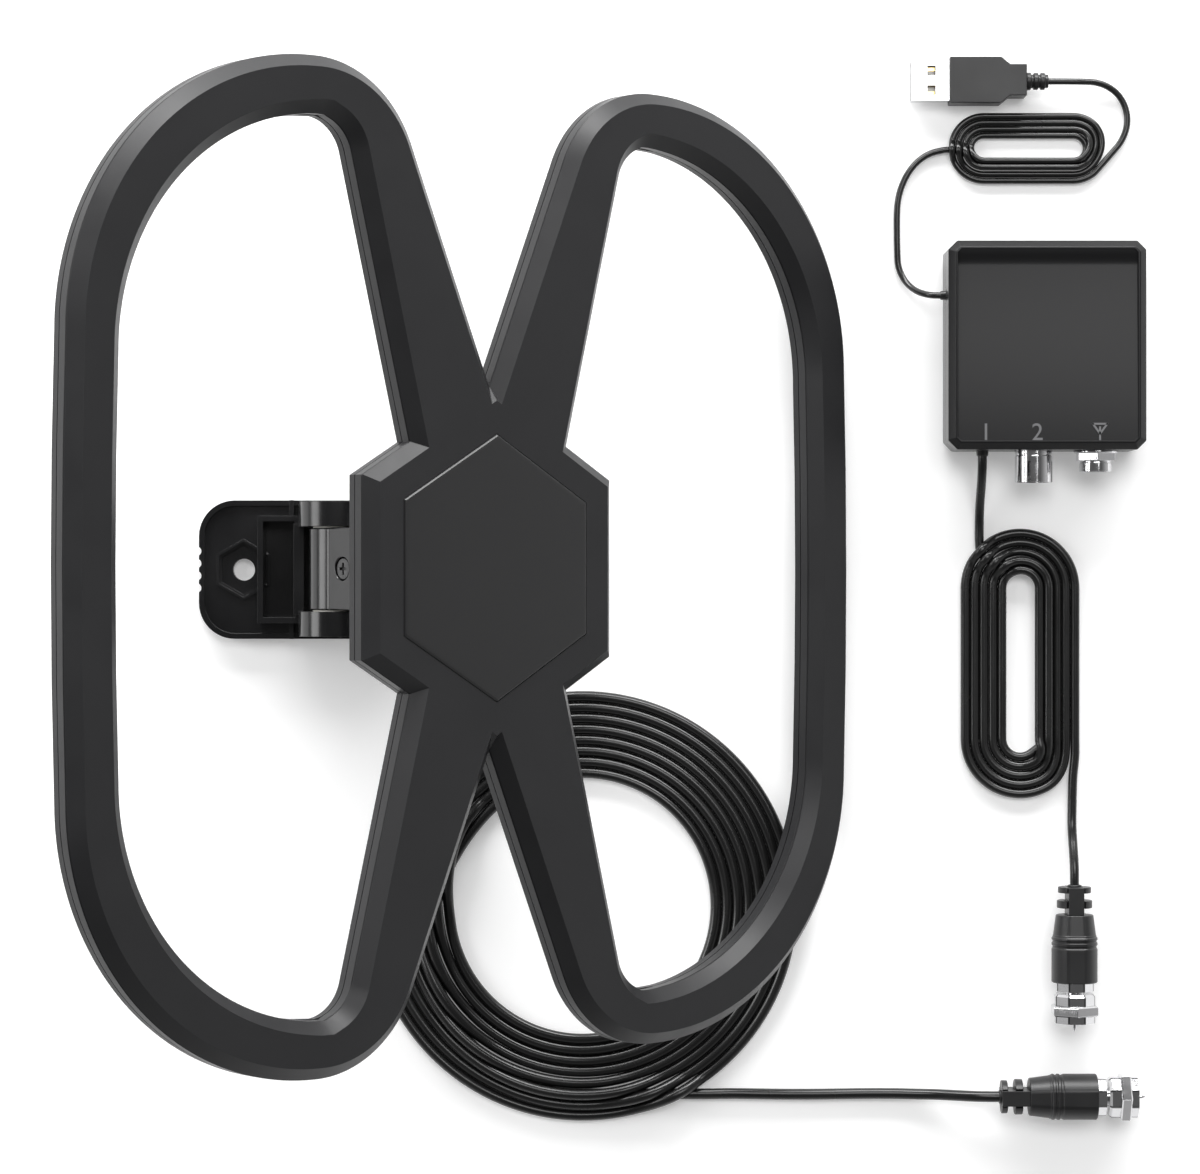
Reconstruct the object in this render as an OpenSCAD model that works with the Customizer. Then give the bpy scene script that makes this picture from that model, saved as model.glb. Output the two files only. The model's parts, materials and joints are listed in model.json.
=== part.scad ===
// Butterfly television antenna: a flat head of two D-shaped loops on a tilting bracket, with its coiled lead,
// an amplifier box, a lead with an F plug and a USB power lead, all laid out on one surface.
// The origin is the middle of the bracket's foot, on the surface, with +Z up.

/* [Antenna head] */
// Half of the width of the flat front face
face_half_w = 129; // [107:1:155]
// Half of the height of the flat front face
face_half_h = 129.5; // [107:0.5:156]
// Width and depth of the bevel round the front face
bevel = 3.3; // [2.6:0.1:4]
// Width of the flat face along the loops' outer bands
band_w = 8.4; // [7:0.1:10]
// Radius of the corner where a diagonal arm meets the top band
arm_corner_r = 30; // [25:1:36]
// Radius of the large outer corners
outer_corner_r = 71; // [59:1:85]
// Distance from the middle of the head to the notch between the arms
notch_v = 40; // [36:1:44]
// Distance from the middle line to the arms' top corners
arm_corner_u = 37.1; // [31:0.1:44]
// Radius of the hub's face across its corners
hub_r = 45; // [42:1:52]
// Radius of the cap across its corners
cap_r = 36; // [30:1:40]
// Depth of the front shell, from the face to the parting line
front_depth = 7; // [6.6:0.1:8.4]
// Thickness of the rear shell
rear_depth = 2.2; // [1.8:0.1:2.7]
// Thickness of the front shell's wall
wall = 2.4; // [2:0.1:2.6]

/* [Bracket] */
// Height of the hinge axis above the surface
pivot_z = 37; // [34:1:44]
// Distance from the hinge axis to the front face
arm_len = 73; // [68:1:88]
// Angle by which the head leans from level, at rest
tilt = 40; // [33:1:41]
// Length of the foot
foot_l = 86; // [80:1:104]
// Width of the foot
foot_w = 40.6; // [40:0.1:49]
// Thickness of the foot's floor
foot_t = 4; // [3.4:0.1:4.8]
// Distance between the foot's two bolt holes
bolt_spacing = 60; // [50:1:66]
// Radius of the foot's bolt holes
bolt_hole_r = 3.2; // [2.7:0.1:3.9]
// Radius of the hinge bolt
hinge_r = 2.5; // [2.1:0.1:3]
// Half of the width of the arm's knuckle
knuckle_half_w = 11.6; // [9.7:0.1:12]
// Radius of the arm's knuckle
knuckle_r = 8; // [6.7:0.1:9]

/* [Amplifier box] */
// Width of the box
box_w = 57.4; // [48:0.1:62]
// Length of the box, from the port side to the back
box_l = 60.6; // [55:0.1:72]
// Height of the box's top above the surface
box_h = 20; // [18:0.5:24]
// Wall of the box
box_wall = 2; // [1.6:0.1:2.4]
// Radius of the threaded aerial port
aerial_port_r = 4.75; // [4:0.05:5.6]
// Radius of the television port's sleeve
tv_port_r = 5.5; // [4.6:0.1:6.4]

/* [Leads] */
// Diameter of the main lead
main_d = 3.2; // [2.7:0.1:3.2]
// Diameter of the short lead
short_d = 2.7; // [2.3:0.1:2.7]
// Diameter of the USB lead
usb_d = 1.9; // [1.6:0.1:1.9]
// Turns in the main lead's coil
main_turns = 8; // [7:1:8]
// Turns in the short lead's hank
short_turns = 5; // [4:1:5]
// Turns in the USB lead's hank
usb_turns = 4; // [3:1:4]
// Radius of the F plugs' grips
plug_r = 6.7; // [5.6:0.1:8]

/* [Hidden] */
$fn = 40;

fit = 0.1;          // clearance between pieces that are fixed together
running = 0.05;     // radial clearance of a pin that turns in its bore
arc_step = 7.5;     // angle between points along a round stretch
skin = 0.01;        // thickness of the thin slabs that a bevel is stretched between

// ---- outlines ----
function unit(v) = v / norm(v);
function corner(before, p, after) = p[2] == 0 ? [[p.x, p.y]] :
    let (at = [p.x, p.y],
        u = unit([before.x, before.y] - at),
        w = unit([after.x, after.y] - at),
        half = acos(u * w) / 2,
        centre = at + unit(u + w) * p[2] / sin(half),
        from = at + u * p[2] / tan(half) - centre,
        to = at + w * p[2] / tan(half) - centre,
        start = atan2(from.y, from.x),
        turn = (atan2(to.y, to.x) - start + 900) % 360 - 180,
        steps = max(2, ceil(abs(turn) / arc_step)))
    [for (i = [0:steps]) centre + p[2] * [cos(start + turn * i / steps), sin(start + turn * i / steps)]];
// Points are [x, y, corner radius]
function outline(points) = let (n = len(points))
    [for (i = [0:n - 1]) each corner(points[(i + n - 1) % n], points[i], points[(i + 1) % n])];
function mirrored(top) = concat(top, [for (i = [len(top) - 1:-1:0]) [top[i].x, -top[i].y, top[i][2]]]);
function box_corners(w, l, r) = [[-w / 2, -l / 2, r], [w / 2, -l / 2, r], [w / 2, l / 2, r], [-w / 2, l / 2, r]];

module wing2d(side, grow) {
    points = outline(mirrored([[0, notch_v, 0], [arm_corner_u, face_half_h, arm_corner_r],
        [face_half_w, face_half_h, outer_corner_r]]));
    offset(delta = grow) polygon([for (p = points) [side * p.x, p.y]]);
}
opening_half_w = face_half_w - band_w;
opening_half_h = face_half_h - band_w;
opening_corner_u = arm_corner_u + 8.2;
opening_root_u = opening_corner_u - opening_half_h / 3.98;
module opening2d(side, grow) {
    points = outline([[opening_root_u, 0, 0], [opening_corner_u, opening_half_h, arm_corner_r / 2],
        [opening_half_w, opening_half_h, outer_corner_r - 4],
        [opening_half_w, -opening_half_h, outer_corner_r - 4],
        [opening_corner_u, -opening_half_h, arm_corner_r / 2]]);
    offset(delta = grow) polygon([for (p = points) [side * p.x, p.y]]);
}
function hex_r(flat_offset) = flat_offset / cos(30);
module hexagon(r) { rotate(30) circle(r = r, $fn = 6); }
module head2d(grow) {
    difference() {
        for (side = [-1, 1]) wing2d(side, grow);
        for (side = [-1, 1]) opening2d(side, -grow);
    }
    hexagon(hub_r + hex_r(grow));
}

// ---- places ----
module on_arm() { translate([0, 0, pivot_z]) rotate([0, tilt, 0]) children(); }
module on_head() { on_arm() translate([0, 0, arm_len]) children(); }
head_depth = front_depth + rear_depth;
band_mid_u = face_half_w - band_w / 2;
band_mid_v = face_half_h - band_w / 2;
arm_mid_v = face_half_h * 0.58;
arm_mid_u = (arm_corner_u + opening_corner_u) / 2 * (arm_mid_v - notch_v) / (face_half_h - notch_v) + 8;
screw_places = [for (u = [-1, 1], v = [-1, 1])
    each [[u * (face_half_w - outer_corner_r + 2), v * band_mid_v], [u * band_mid_u, v * 25],
        [u * arm_mid_u, v * arm_mid_v]]];
post_places = [for (u = [-1, 1], v = [-1, 1]) each [[u * band_mid_u, v * 48], [u * 16, v * 36]]];
boss_r = 2.2;
screw_r = 1.1;
radiator_z = -5;
radiator_t = 0.8;
feed_gap_w = 12;    // gap between the two radiators along the middle line
board_w = 26;
board_l = 32;
board_t = 1.2;
board_z = radiator_z + radiator_t;
gland_at = [8, -31];
gland_len = 17.8;
gland_flange_r = 5;
gland_neck_r = 3.6;
gland_bore_r = main_d / 2 + running;
socket_screw_places = [for (u = [-1, 1], v = [-1, 1]) [u * 14.5, v * 14.5]];
board_screw_places = [[0, 13], [0, -5.5]];
cap_depth = 1.2;

// ---- antenna head ----
module bevelled(depth) {
    hull() {
        translate([0, 0, -depth]) linear_extrude(depth - bevel) children(0);
        translate([0, 0, -skin]) linear_extrude(skin) children(1);
    }
}
module opening_cut(side) {
    hull() {
        translate([0, 0, -front_depth - 1]) linear_extrude(front_depth + 1 - bevel) opening2d(side, -bevel);
        linear_extrude(skin) opening2d(side, 0);
    }
}
module at_places(places) { for (p = places) translate([p.x, p.y, 0]) children(); }

module front_shell() {
    color([0.17, 0.17, 0.18]) on_head() difference() {
        union() {
            difference() {
                union() {
                    difference() {
                        for (side = [-1, 1]) bevelled(front_depth) {
                            wing2d(side, bevel);
                            wing2d(side, 0);
                        }
                        for (side = [-1, 1]) opening_cut(side);
                    }
                    bevelled(front_depth) {
                        hexagon(hub_r + hex_r(bevel));
                        hexagon(hub_r);
                    }
                }
                translate([0, 0, -front_depth - 1]) linear_extrude(front_depth + 1 - wall)
                    offset(delta = -wall) head2d(bevel);
            }
            at_places(screw_places) translate([0, 0, -front_depth]) cylinder(r = boss_r, h = front_depth - wall + skin);
            at_places(board_screw_places) translate([0, 0, board_z + board_t])
                cylinder(r = 2.4, h = -wall + skin - board_z - board_t);
        }
        at_places(screw_places) translate([0, 0, -front_depth - 1])
            cylinder(r = screw_r + running, h = front_depth + 1 - wall);
        at_places(board_screw_places) translate([0, 0, board_z]) cylinder(r = 0.9 + running, h = 2.4);
        translate([0, 0, -cap_depth]) linear_extrude(cap_depth + 1) hexagon(cap_r + hex_r(fit));
    }
}

module rear_shell() {
    lip_h = 1;
    color([0.13, 0.13, 0.14]) on_head() difference() {
        union() {
            translate([0, 0, -head_depth]) linear_extrude(rear_depth) head2d(bevel);
            translate([0, 0, -front_depth - skin]) linear_extrude(lip_h) difference() {
                offset(delta = -wall - fit) head2d(bevel);
                offset(delta = -wall - fit - 0.9) head2d(bevel);
                at_places(screw_places) circle(r = boss_r + 0.2);
            }
            at_places(post_places) translate([0, 0, -front_depth - skin])
                cylinder(r = 1.6, h = front_depth + radiator_z + skin);
            at_places(socket_screw_places) translate([0, 0, -front_depth - skin])
                cylinder(r = 3, h = front_depth + radiator_z - 0.3);
        }
        at_places(screw_places) translate([0, 0, -head_depth - 1]) {
            cylinder(r = screw_r + fit, h = head_depth);
            cylinder(r = 2.1, h = 2.2);
        }
        at_places(socket_screw_places) translate([0, 0, -head_depth - 1]) cylinder(r = 1.4 + running, h = head_depth);
        translate([gland_at.x, gland_at.y, -head_depth - 1]) cylinder(r = gland_neck_r + fit, h = head_depth);
    }
}

module hub_cap() {
    proud = 0.4;
    color([0.2, 0.2, 0.21]) on_head() hull() {
        translate([0, 0, -cap_depth]) linear_extrude(cap_depth) hexagon(cap_r);
        translate([0, 0, proud - skin]) linear_extrude(skin) hexagon(cap_r - hex_r(proud));
    }
}

module radiator(side) {
    color([0.75, 0.74, 0.7]) on_head() translate([0, 0, radiator_z]) linear_extrude(radiator_t) difference() {
        wing2d(side, -0.4);
        opening2d(side, 0.4);
        square([feed_gap_w, 2 * face_half_h], center = true);
        // room for the lead's core and the gland's flange
        translate([0, gland_at.y]) square([2 * (gland_at.x + gland_flange_r + 1), 2 * (gland_flange_r + 3)], center = true);
        at_places(screw_places) circle(r = boss_r + 0.3);
    }
}
module radiator_left() { radiator(-1); }
module radiator_right() { radiator(1); }

module matching_board() {
    color([0.1, 0.35, 0.2]) on_head() translate([0, 0, board_z]) linear_extrude(board_t) difference() {
        polygon(outline(box_corners(board_w, board_l, 2)));
        at_places(board_screw_places) circle(r = 0.9 + fit);
    }
}
module matching_transformer() {
    color([0.25, 0.22, 0.2]) on_head() translate([0, 0, board_z - 2.6]) linear_extrude(2.6) difference() {
        polygon(outline(box_corners(8, 5.6, 1)));
        for (u = [-1.9, 1.9]) translate([u, 0]) circle(r = 0.8);
    }
}
module coax_clamp() {
    color([0.8, 0.8, 0.82]) on_head() translate([0, -12, board_z]) difference() {
        translate([-3.5, -3, -2.7]) cube([7, 4, 2.7]);
        translate([0, -4, -1.8]) rotate([-90, 0, 0]) cylinder(r = 0.8 + running, h = 8);
    }
}
module core_wire() {
    route = [[8, -31, -7.6], [8, -30.9, -6.2], [7.8, -30, -5.2], [7, -28, -4.9], [5.6, -25, -4.9],
        [3.8, -22, -5], [1.8, -19.4, -5.3], [0.5, -17.2, -5.8], [0, -15.2, -6], [0, -11.5, -6]];
    color([0.85, 0.5, 0.3]) on_head() tube(route, 0.75);
}
module board_screws() {
    color([0.7, 0.7, 0.72]) on_head() at_places(board_screw_places) {
        translate([0, 0, board_z - 1]) cylinder(r = 1.7, h = 1);
        translate([0, 0, board_z - skin]) cylinder(r = 0.9, h = 2.2);
    }
}
module shell_screws() {
    color([0.6, 0.6, 0.62]) on_head() at_places(screw_places) {
        translate([0, 0, -head_depth]) cylinder(r = 2, h = 1.1);
        translate([0, 0, -head_depth + 1]) cylinder(r = screw_r, h = head_depth - wall - 1.4);
    }
}
module lead_gland() {
    mouth = -head_depth - gland_len;
    color([0.1, 0.1, 0.1]) on_head() translate([gland_at.x, gland_at.y, 0]) difference() {
        union() {
            translate([0, 0, -front_depth]) cylinder(r = gland_flange_r, h = 1);
            translate([0, 0, -head_depth - skin]) cylinder(r = gland_neck_r, h = rear_depth + 2 * skin);
            translate([0, 0, -head_depth - 1.6]) cylinder(r = gland_flange_r, h = 1.6);
            translate([0, 0, mouth]) cylinder(r1 = main_d / 2 + 0.9, r2 = 4, h = gland_len - 1.5);
        }
        translate([0, 0, mouth - 1]) cylinder(r = gland_bore_r, h = head_depth + gland_len);
    }
}

// ---- bracket ----
ear_gap = 0.5;
ear_in = knuckle_half_w + ear_gap;
ear_out = foot_w / 2 - 1.2;
ear_top_r = knuckle_r + 2;
washer_t = ear_gap - 2 * running;
neck_t = 13;
neck_top = 50;
lock_screw_z = 11;
socket_low = 34;
socket_flange_t = 4;
arm_top = arm_len - head_depth;

module arm_socket() {
    outer_t = neck_t + 5;
    color([0.12, 0.12, 0.13]) on_arm() difference() {
        union() {
            translate([0, 0, socket_low]) linear_extrude(arm_top - socket_low)
                polygon(outline(box_corners(outer_t, 2 * knuckle_half_w + 6, 3)));
            translate([0, 0, arm_top - socket_flange_t]) linear_extrude(socket_flange_t)
                polygon(outline(box_corners(37, 37, 5)));
        }
        translate([0, 0, socket_low - 1]) linear_extrude(neck_top - socket_low + 1 + fit)
            square([neck_t + 2 * fit, 2 * (knuckle_half_w + fit)], center = true);
        at_places(socket_screw_places) translate([0, 0, arm_top - socket_flange_t - 1])
            cylinder(r = 1.4 + fit, h = socket_flange_t + 2);
    }
}
module arm_knuckle() {
    color([0.12, 0.12, 0.13]) on_arm() difference() {
        union() {
            rotate([90, 0, 0]) cylinder(r = knuckle_r, h = 2 * knuckle_half_w, center = true);
            translate([-neck_t / 2, -knuckle_half_w, 0]) cube([neck_t, 2 * knuckle_half_w, neck_top]);
        }
        rotate([90, 0, 0]) cylinder(r = hinge_r + running, h = 3 * knuckle_half_w, center = true);
        translate([-neck_t / 2 - 3, 0, lock_screw_z]) rotate([0, 90, 0]) {
            cylinder(r = 3.3, h = 5.2);
            cylinder(r = 1.5 + running, h = 13);
        }
    }
}
module arm_lock_screw() {
    color([0.55, 0.55, 0.57]) on_arm() translate([-neck_t / 2 + 0.4, 0, lock_screw_z]) rotate([0, 90, 0]) difference() {
        union() {
            cylinder(r = 2.9, h = 1.8);
            cylinder(r = 1.5, h = 9.4);
        }
        for (a = [0, 90]) rotate(a) cube([3.4, 0.8, 1.8], center = true);
    }
}
module socket_screws() {
    color([0.6, 0.6, 0.62]) on_arm() at_places(socket_screw_places) {
        translate([0, 0, arm_top - socket_flange_t - 1.8]) cylinder(r = 2.6, h = 1.8);
        translate([0, 0, arm_top - socket_flange_t - skin]) cylinder(r = 1.4, h = socket_flange_t + rear_depth + 1.4);
    }
}
module base_plate() {
    rim_w = 1.6;
    rim_h = 1.2;
    block_x = 25;
    block_h = 14;
    web_x = 12.5;
    scallop_r = 1.4;
    color([0.12, 0.12, 0.13]) difference() {
        union() {
            linear_extrude(foot_t) polygon(outline(box_corners(foot_l, foot_w, 10.5)));
            linear_extrude(foot_t + rim_h) difference() {
                polygon(outline(box_corners(foot_l, foot_w, 10.5)));
                polygon(outline(box_corners(foot_l - 2 * rim_w, foot_w - 2 * rim_w, 10.5 - rim_w)));
            }
            for (side = [-1, 1]) {
                // ear of the clevis
                translate([0, side * (ear_in + ear_out) / 2, 0]) rotate([90, 0, 0])
                    linear_extrude(ear_out - ear_in, center = true)
                    polygon(outline([[-ear_top_r - 4, foot_t - 1, 0], [-ear_top_r, pivot_z + ear_top_r, ear_top_r - 0.1],
                        [ear_top_r, pivot_z + ear_top_r, ear_top_r - 0.1], [ear_top_r + 4, foot_t - 1, 0]]));
                // hollow block beside the ears, and the rib that ties it to the rim
                translate([side * (block_x + web_x) / 2, 0, 0]) linear_extrude(block_h) difference() {
                    square([block_x - web_x, 31.2], center = true);
                    square([block_x - web_x - 3.2, 28], center = true);
                }
                translate([side * web_x - 1.5, -ear_in - 1, 0]) cube([3, 2 * ear_in + 2, 20]);
                for (v = [-1, 1]) translate([side * 15.5 - 0.6, v * (foot_w / 2 + 15) / 2 - (foot_w / 2 - 15) / 2, 0])
                    cube([1.2, foot_w / 2 - 15, 9]);
                // raised ring round each hexagonal recess
                translate([side * bolt_spacing / 2, 0, 0]) linear_extrude(foot_t + 0.9) difference() {
                    hexagon(9);
                    hexagon(8.1);
                }
            }
        }
        for (side = [-1, 1]) {
            translate([side * bolt_spacing / 2, 0, -1]) cylinder(r = bolt_hole_r, h = foot_t + 3);
            translate([side * bolt_spacing / 2, 0, foot_t - 1.2]) linear_extrude(3) hexagon(7.4);
            for (v = [-5.4:3.6:5.4]) translate([side * (foot_l / 2 + 0.7), v, -1])
                cylinder(r = scallop_r, h = foot_t + rim_h + 2);
        }
        translate([0, 0, pivot_z]) rotate([90, 0, 0]) cylinder(r = hinge_r + fit, h = 2 * foot_w, center = true);
        translate([0, -ear_out + 2.6, pivot_z]) rotate([90, 0, 0]) cylinder(r = hinge_r + 2.1, h = 5);
        translate([0, ear_out - 2.8, pivot_z]) rotate([-90, 0, 0]) linear_extrude(5) hexagon(hinge_r + 2.3);
    }
}
module hinge_bolt() {
    color([0.5, 0.5, 0.52]) translate([0, 0, pivot_z]) rotate([90, 0, 0]) difference() {
        union() {
            translate([0, 0, ear_out - 2.6]) cylinder(r = hinge_r + 1.9, h = 2.4);
            translate([0, 0, -ear_out + 0.2]) cylinder(r = hinge_r, h = 2 * ear_out - 2.6);
        }
        for (a = [0, 90]) rotate(a) translate([0, 0, ear_out]) cube([4.6, 1, 2], center = true);
    }
}
module hinge_nut() {
    color([0.5, 0.5, 0.52]) translate([0, ear_out - 2.8, pivot_z]) rotate([-90, 0, 0]) linear_extrude(2.6) difference() {
        hexagon(hinge_r + 2.2);
        circle(r = hinge_r + running);
    }
}
module friction_washers() {
    color([0.7, 0.7, 0.68]) translate([0, 0, pivot_z]) rotate([90, 0, 0])
        for (side = [-1, 1]) translate([0, 0, side * (ear_in - ear_gap / 2)])
            linear_extrude(washer_t, center = true) difference() {
                circle(r = knuckle_r - 1);
                circle(r = hinge_r + fit);
            }
}

// ---- leads ----
// Sweeps a round section of radius r along the route, with 8 sides
function start_normal(t) = unit(cross(t, abs(t.z) < 0.9 ? [0, 0, 1] : [1, 0, 0]));
function tangent(route, i) = unit(route[min(i + 1, len(route) - 1)] - route[max(i - 1, 0)]);
function carried(n, t) = unit(n - (n * t) * t);
module tube(route, r) {
    sides = 8;
    last = len(route) - 1;
    normals = [for (i = 0, n = start_normal(tangent(route, 0)); i <= last;
        i = i + 1, n = i <= last ? carried(n, tangent(route, i)) : n) n];
    points = [for (i = [0:last]) let (n = normals[i], b = cross(tangent(route, i), n))
        for (k = [0:sides - 1]) route[i] + r * (cos(360 * k / sides) * n + sin(360 * k / sides) * b)];
    walls = [for (i = [0:last - 1], k = [0:sides - 1])
        let (a = i * sides + k, b = i * sides + (k + 1) % sides)
        each [[a, a + sides, b], [b, a + sides, b + sides]]];
    polyhedron(points, concat([[for (k = [0:sides - 1]) k]],
        [[for (k = [sides - 1:-1:0]) last * sides + k]], walls));
}
module stadium(half_run, r) {
    polygon(outline([[-half_run - r, -r, r - skin], [half_run + r, -r, r - skin],
        [half_run + r, r, r - skin], [-half_run - r, r, r - skin]]));
}

// Main lead
coil_at = [69.5, -98.9];
coil_out_r = 63.2;
drop_route = [[35.7, -31, 67.1], [32.5, -31.1, 63.3], [30.2, -31.7, 58.5], [29, -33, 52], [28.8, -34.8, 44],
    [29, -37, 36], [29.2, -39.5, 28], [29.1, -42.5, 20.5], [28.2, -46.5, 13.8], [26.7, -51, 8.6], [24.9, -55.6, 4.9]];
tail_route = [[102.9, -154.2, 1.6], [107, -154.2, 1.6], [113, -154.1, 1.6], [121, -154.2, 1.6],
    [129, -154.3, 1.6], [137, -154.3, 1.6], [145, -154.2, 1.6], [153, -154.1, 1.6], [161, -154.1, 1.7],
    [168, -154.2, 2.1], [174, -154.2, 3.1], [179.5, -154.2, 5.2], [184.2, -154.2, 6.9], [188.2, -154.2, 7.6],
    [191.9, -154.2, 7.6]];
main_plug_at = [191.9, -154.2, 7.6];

module lead_drop() {
    color([0.09, 0.09, 0.09]) tube(drop_route, main_d / 2);
}
module lead_coil() {
    color([0.09, 0.09, 0.09]) translate([coil_at.x, coil_at.y, 0])
        rotate_extrude() translate([coil_out_r - main_turns * main_d, 0]) square([main_turns * main_d, main_d]);
}
module lead_tail() {
    color([0.09, 0.09, 0.09]) tube(tail_route, main_d / 2);
}

// F plug: lengths along its axis from the grip's tail end
boot_end = 27.9;
ferrule_end = 31;
nut_start = 31.2;
nut_end = 39.7;
module plug_boot(lead_d) {
    core_r = plug_r * 0.42;
    color([0.12, 0.12, 0.12]) difference() {
        rotate_extrude() polygon([[0, 0], [plug_r * 0.72, 0], [plug_r * 0.72, 1.7], [core_r, 1.7], [core_r, 3.9],
            [plug_r * 0.77, 3.9], [plug_r * 0.77, 6.1], [core_r, 6.1], [core_r, 8.1], [plug_r * 0.82, 8.1],
            [plug_r * 0.95, 14.1], [plug_r * 0.95, 14.7], [plug_r, 14.9], [plug_r, 15.5], [plug_r * 0.95, 15.8],
            [plug_r * 0.95, 16.2], [plug_r, 16.5], [plug_r, 17.2], [plug_r * 0.96, 17.5], [plug_r, 18.2],
            [plug_r, boot_end], [0, boot_end]]);
        translate([0, 0, 20]) cylinder(r = plug_r * 0.6 + fit, h = boot_end - 19);
    }
}
module plug_ferrule() {
    color([0.78, 0.78, 0.8]) difference() {
        union() {
            translate([0, 0, 20.2]) cylinder(r = plug_r * 0.6, h = boot_end - 20);
            translate([0, 0, boot_end]) cylinder(r = plug_r * 0.84, h = ferrule_end - boot_end - 0.4);
            translate([0, 0, boot_end]) cylinder(r = plug_r * 0.4, h = nut_start + 5 - boot_end);
        }
        translate([0, 0, 21]) cylinder(r = plug_r * 0.31, h = nut_start - 15);
    }
}
module plug_nut() {
    shoulder = plug_r * 0.9;
    color([0.8, 0.8, 0.82]) difference() {
        union() {
            translate([0, 0, nut_start]) cylinder(r = shoulder, h = nut_end - nut_start);
            translate([0, 0, 34.5]) linear_extrude(3.2) hexagon(plug_r * 1.12);
        }
        translate([0, 0, nut_start - 1]) cylinder(r = plug_r * 0.4 + running, h = 10);
        translate([0, 0, nut_start + 2]) cylinder(r = plug_r * 0.71, h = 10);
    }
}
module plug_insulator() {
    color([0.9, 0.9, 0.88]) difference() {
        translate([0, 0, 21.2]) cylinder(r = plug_r * 0.31 - running, h = nut_start - 16.2);
        translate([0, 0, 20]) cylinder(r = 0.5 + running, h = 20);
    }
}
module plug_pin() {
    color([0.85, 0.6, 0.35]) rotate_extrude() polygon([[0, 21.4], [0.5, 21.4], [0.5, 41.2], [0, 42.4]]);
}
module at_main_plug() { translate(main_plug_at) rotate([0, 90, 0]) children(); }
module main_plug_boot() { at_main_plug() plug_boot(main_d); }
module main_plug_ferrule() { at_main_plug() plug_ferrule(); }
module main_plug_nut() { at_main_plug() plug_nut(); }
module main_plug_insulator() { at_main_plug() plug_insulator(); }
module main_plug_pin() { at_main_plug() plug_pin(); }

// ---- amplifier box ----
box_at = [204.2, 65];
box_foot = 1;
box_split = 10;
port_z = 10;
port_y = box_at.y - box_l / 2;
side_x = box_at.x - box_w / 2;
short_exit_x = 186.2;
tv_port_x = 201.1;
aerial_port_x = 219.2;
usb_exit_y = 80;
port_flange_w = 1.1;    // width and thickness of the flange that holds a port's body against the wall
port_flange_t = 1.4;
short_hole_r = 3;       // holes that the two leads' grommets sit in
usb_hole_r = 2.4;
grommet_flange_w = 1.2;
box_board_z = 5;
box_board_t = 1.6;
box_boss_places = [for (x = [-1, 1], y = [-1, 1]) [x * (box_w / 2 - 6), y * (box_l / 2 - 6) + 1]];

module box2d(grow) {
    chamfer = 2.6;
    w = box_w / 2 + grow;
    l = box_l / 2 + grow;
    polygon([[-w + chamfer, -l], [w - chamfer, -l], [w, -l + chamfer], [w, l - chamfer], [w - chamfer, l],
        [-w + chamfer, l], [-w, l - chamfer], [-w, -l + chamfer]]);
}
module in_box() { translate([box_at.x, box_at.y, 0]) children(); }
module from_port_side(x) { translate([x, port_y, port_z]) rotate([90, 0, 0]) children(); }
module from_left_side() { translate([side_x, usb_exit_y, port_z]) rotate([0, -90, 0]) children(); }
module port_holes() {
    from_port_side(short_exit_x) cylinder(r = short_hole_r, h = 20, center = true);
    from_port_side(tv_port_x) cylinder(r = tv_port_r + fit, h = 10, center = true);
    from_port_side(aerial_port_x) cylinder(r = aerial_port_r + fit, h = 10, center = true);
    from_left_side() cylinder(r = usb_hole_r, h = 20, center = true);
}
module box_lower_shell() {
    color([0.12, 0.12, 0.13]) difference() {
        union() {
            in_box() difference() {
                translate([0, 0, box_foot]) linear_extrude(box_split - box_foot) box2d(0);
                translate([0, 0, box_foot + box_wall]) linear_extrude(box_h) box2d(-box_wall);
            }
            in_box() at_places(box_boss_places) translate([0, 0, box_foot]) cylinder(r = 2.8, h = box_board_z - box_foot);
        }
        in_box() at_places(box_boss_places) {
            cylinder(r = 1.2 + fit, h = 20);
            cylinder(r = 2.2, h = box_foot + 1.4);
        }
        port_holes();
    }
}
module box_upper_shell() {
    boss_low = box_board_z + box_board_t;
    rim = 2;
    scoop = 0.9;
    color([0.14, 0.14, 0.15]) difference() {
        union() {
            in_box() difference() {
                hull() {
                    translate([0, 0, box_split]) linear_extrude(box_h - rim - box_split) box2d(0);
                    translate([0, 0, box_h - skin]) linear_extrude(skin) box2d(-rim);
                }
                translate([0, 0, box_split - 1]) linear_extrude(box_h - box_wall - scoop - box_split + 1) box2d(-box_wall);
                translate([0, 0, box_h - scoop + 5]) cube([box_w - 2 * rim - 1, box_l - 9, 10], center = true);
            }
            in_box() at_places(box_boss_places) translate([0, 0, boss_low])
                cylinder(r = 2.6, h = box_h - box_wall - scoop - boss_low + skin);
        }
        in_box() at_places(box_boss_places) cylinder(r = 1.2 + running, h = box_h - 6);
        port_holes();
    }
}
module box_board() {
    color([0.12, 0.38, 0.22]) in_box() translate([0, 0, box_board_z]) linear_extrude(box_board_t) difference() {
        box2d(-box_wall - 0.6);
        at_places(box_boss_places) circle(r = 1.2 + fit);
        for (port = [[tv_port_x, tv_port_r + port_flange_w], [aerial_port_x, aerial_port_r + port_flange_w],
            [short_exit_x, short_hole_r + grommet_flange_w]])
            translate([port.x - box_at.x, -box_l / 2])
            square([2 * (port.y + 0.5), 2 * (box_wall + port_flange_t + 2)], center = true);
        translate([-box_w / 2, usb_exit_y - box_at.y])
            square([2 * (box_wall + port_flange_t + 2), 2 * (usb_hole_r + grommet_flange_w + 0.5)], center = true);
    }
}
module box_shield() {
    base = box_board_z + box_board_t;
    color([0.75, 0.75, 0.77]) in_box() translate([2, 3, base]) difference() {
        translate([-13, -11, 0]) cube([26, 22, 6]);
        translate([-12.6, -10.6, -1]) cube([25.2, 21.2, 6.6]);
    }
}
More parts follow.
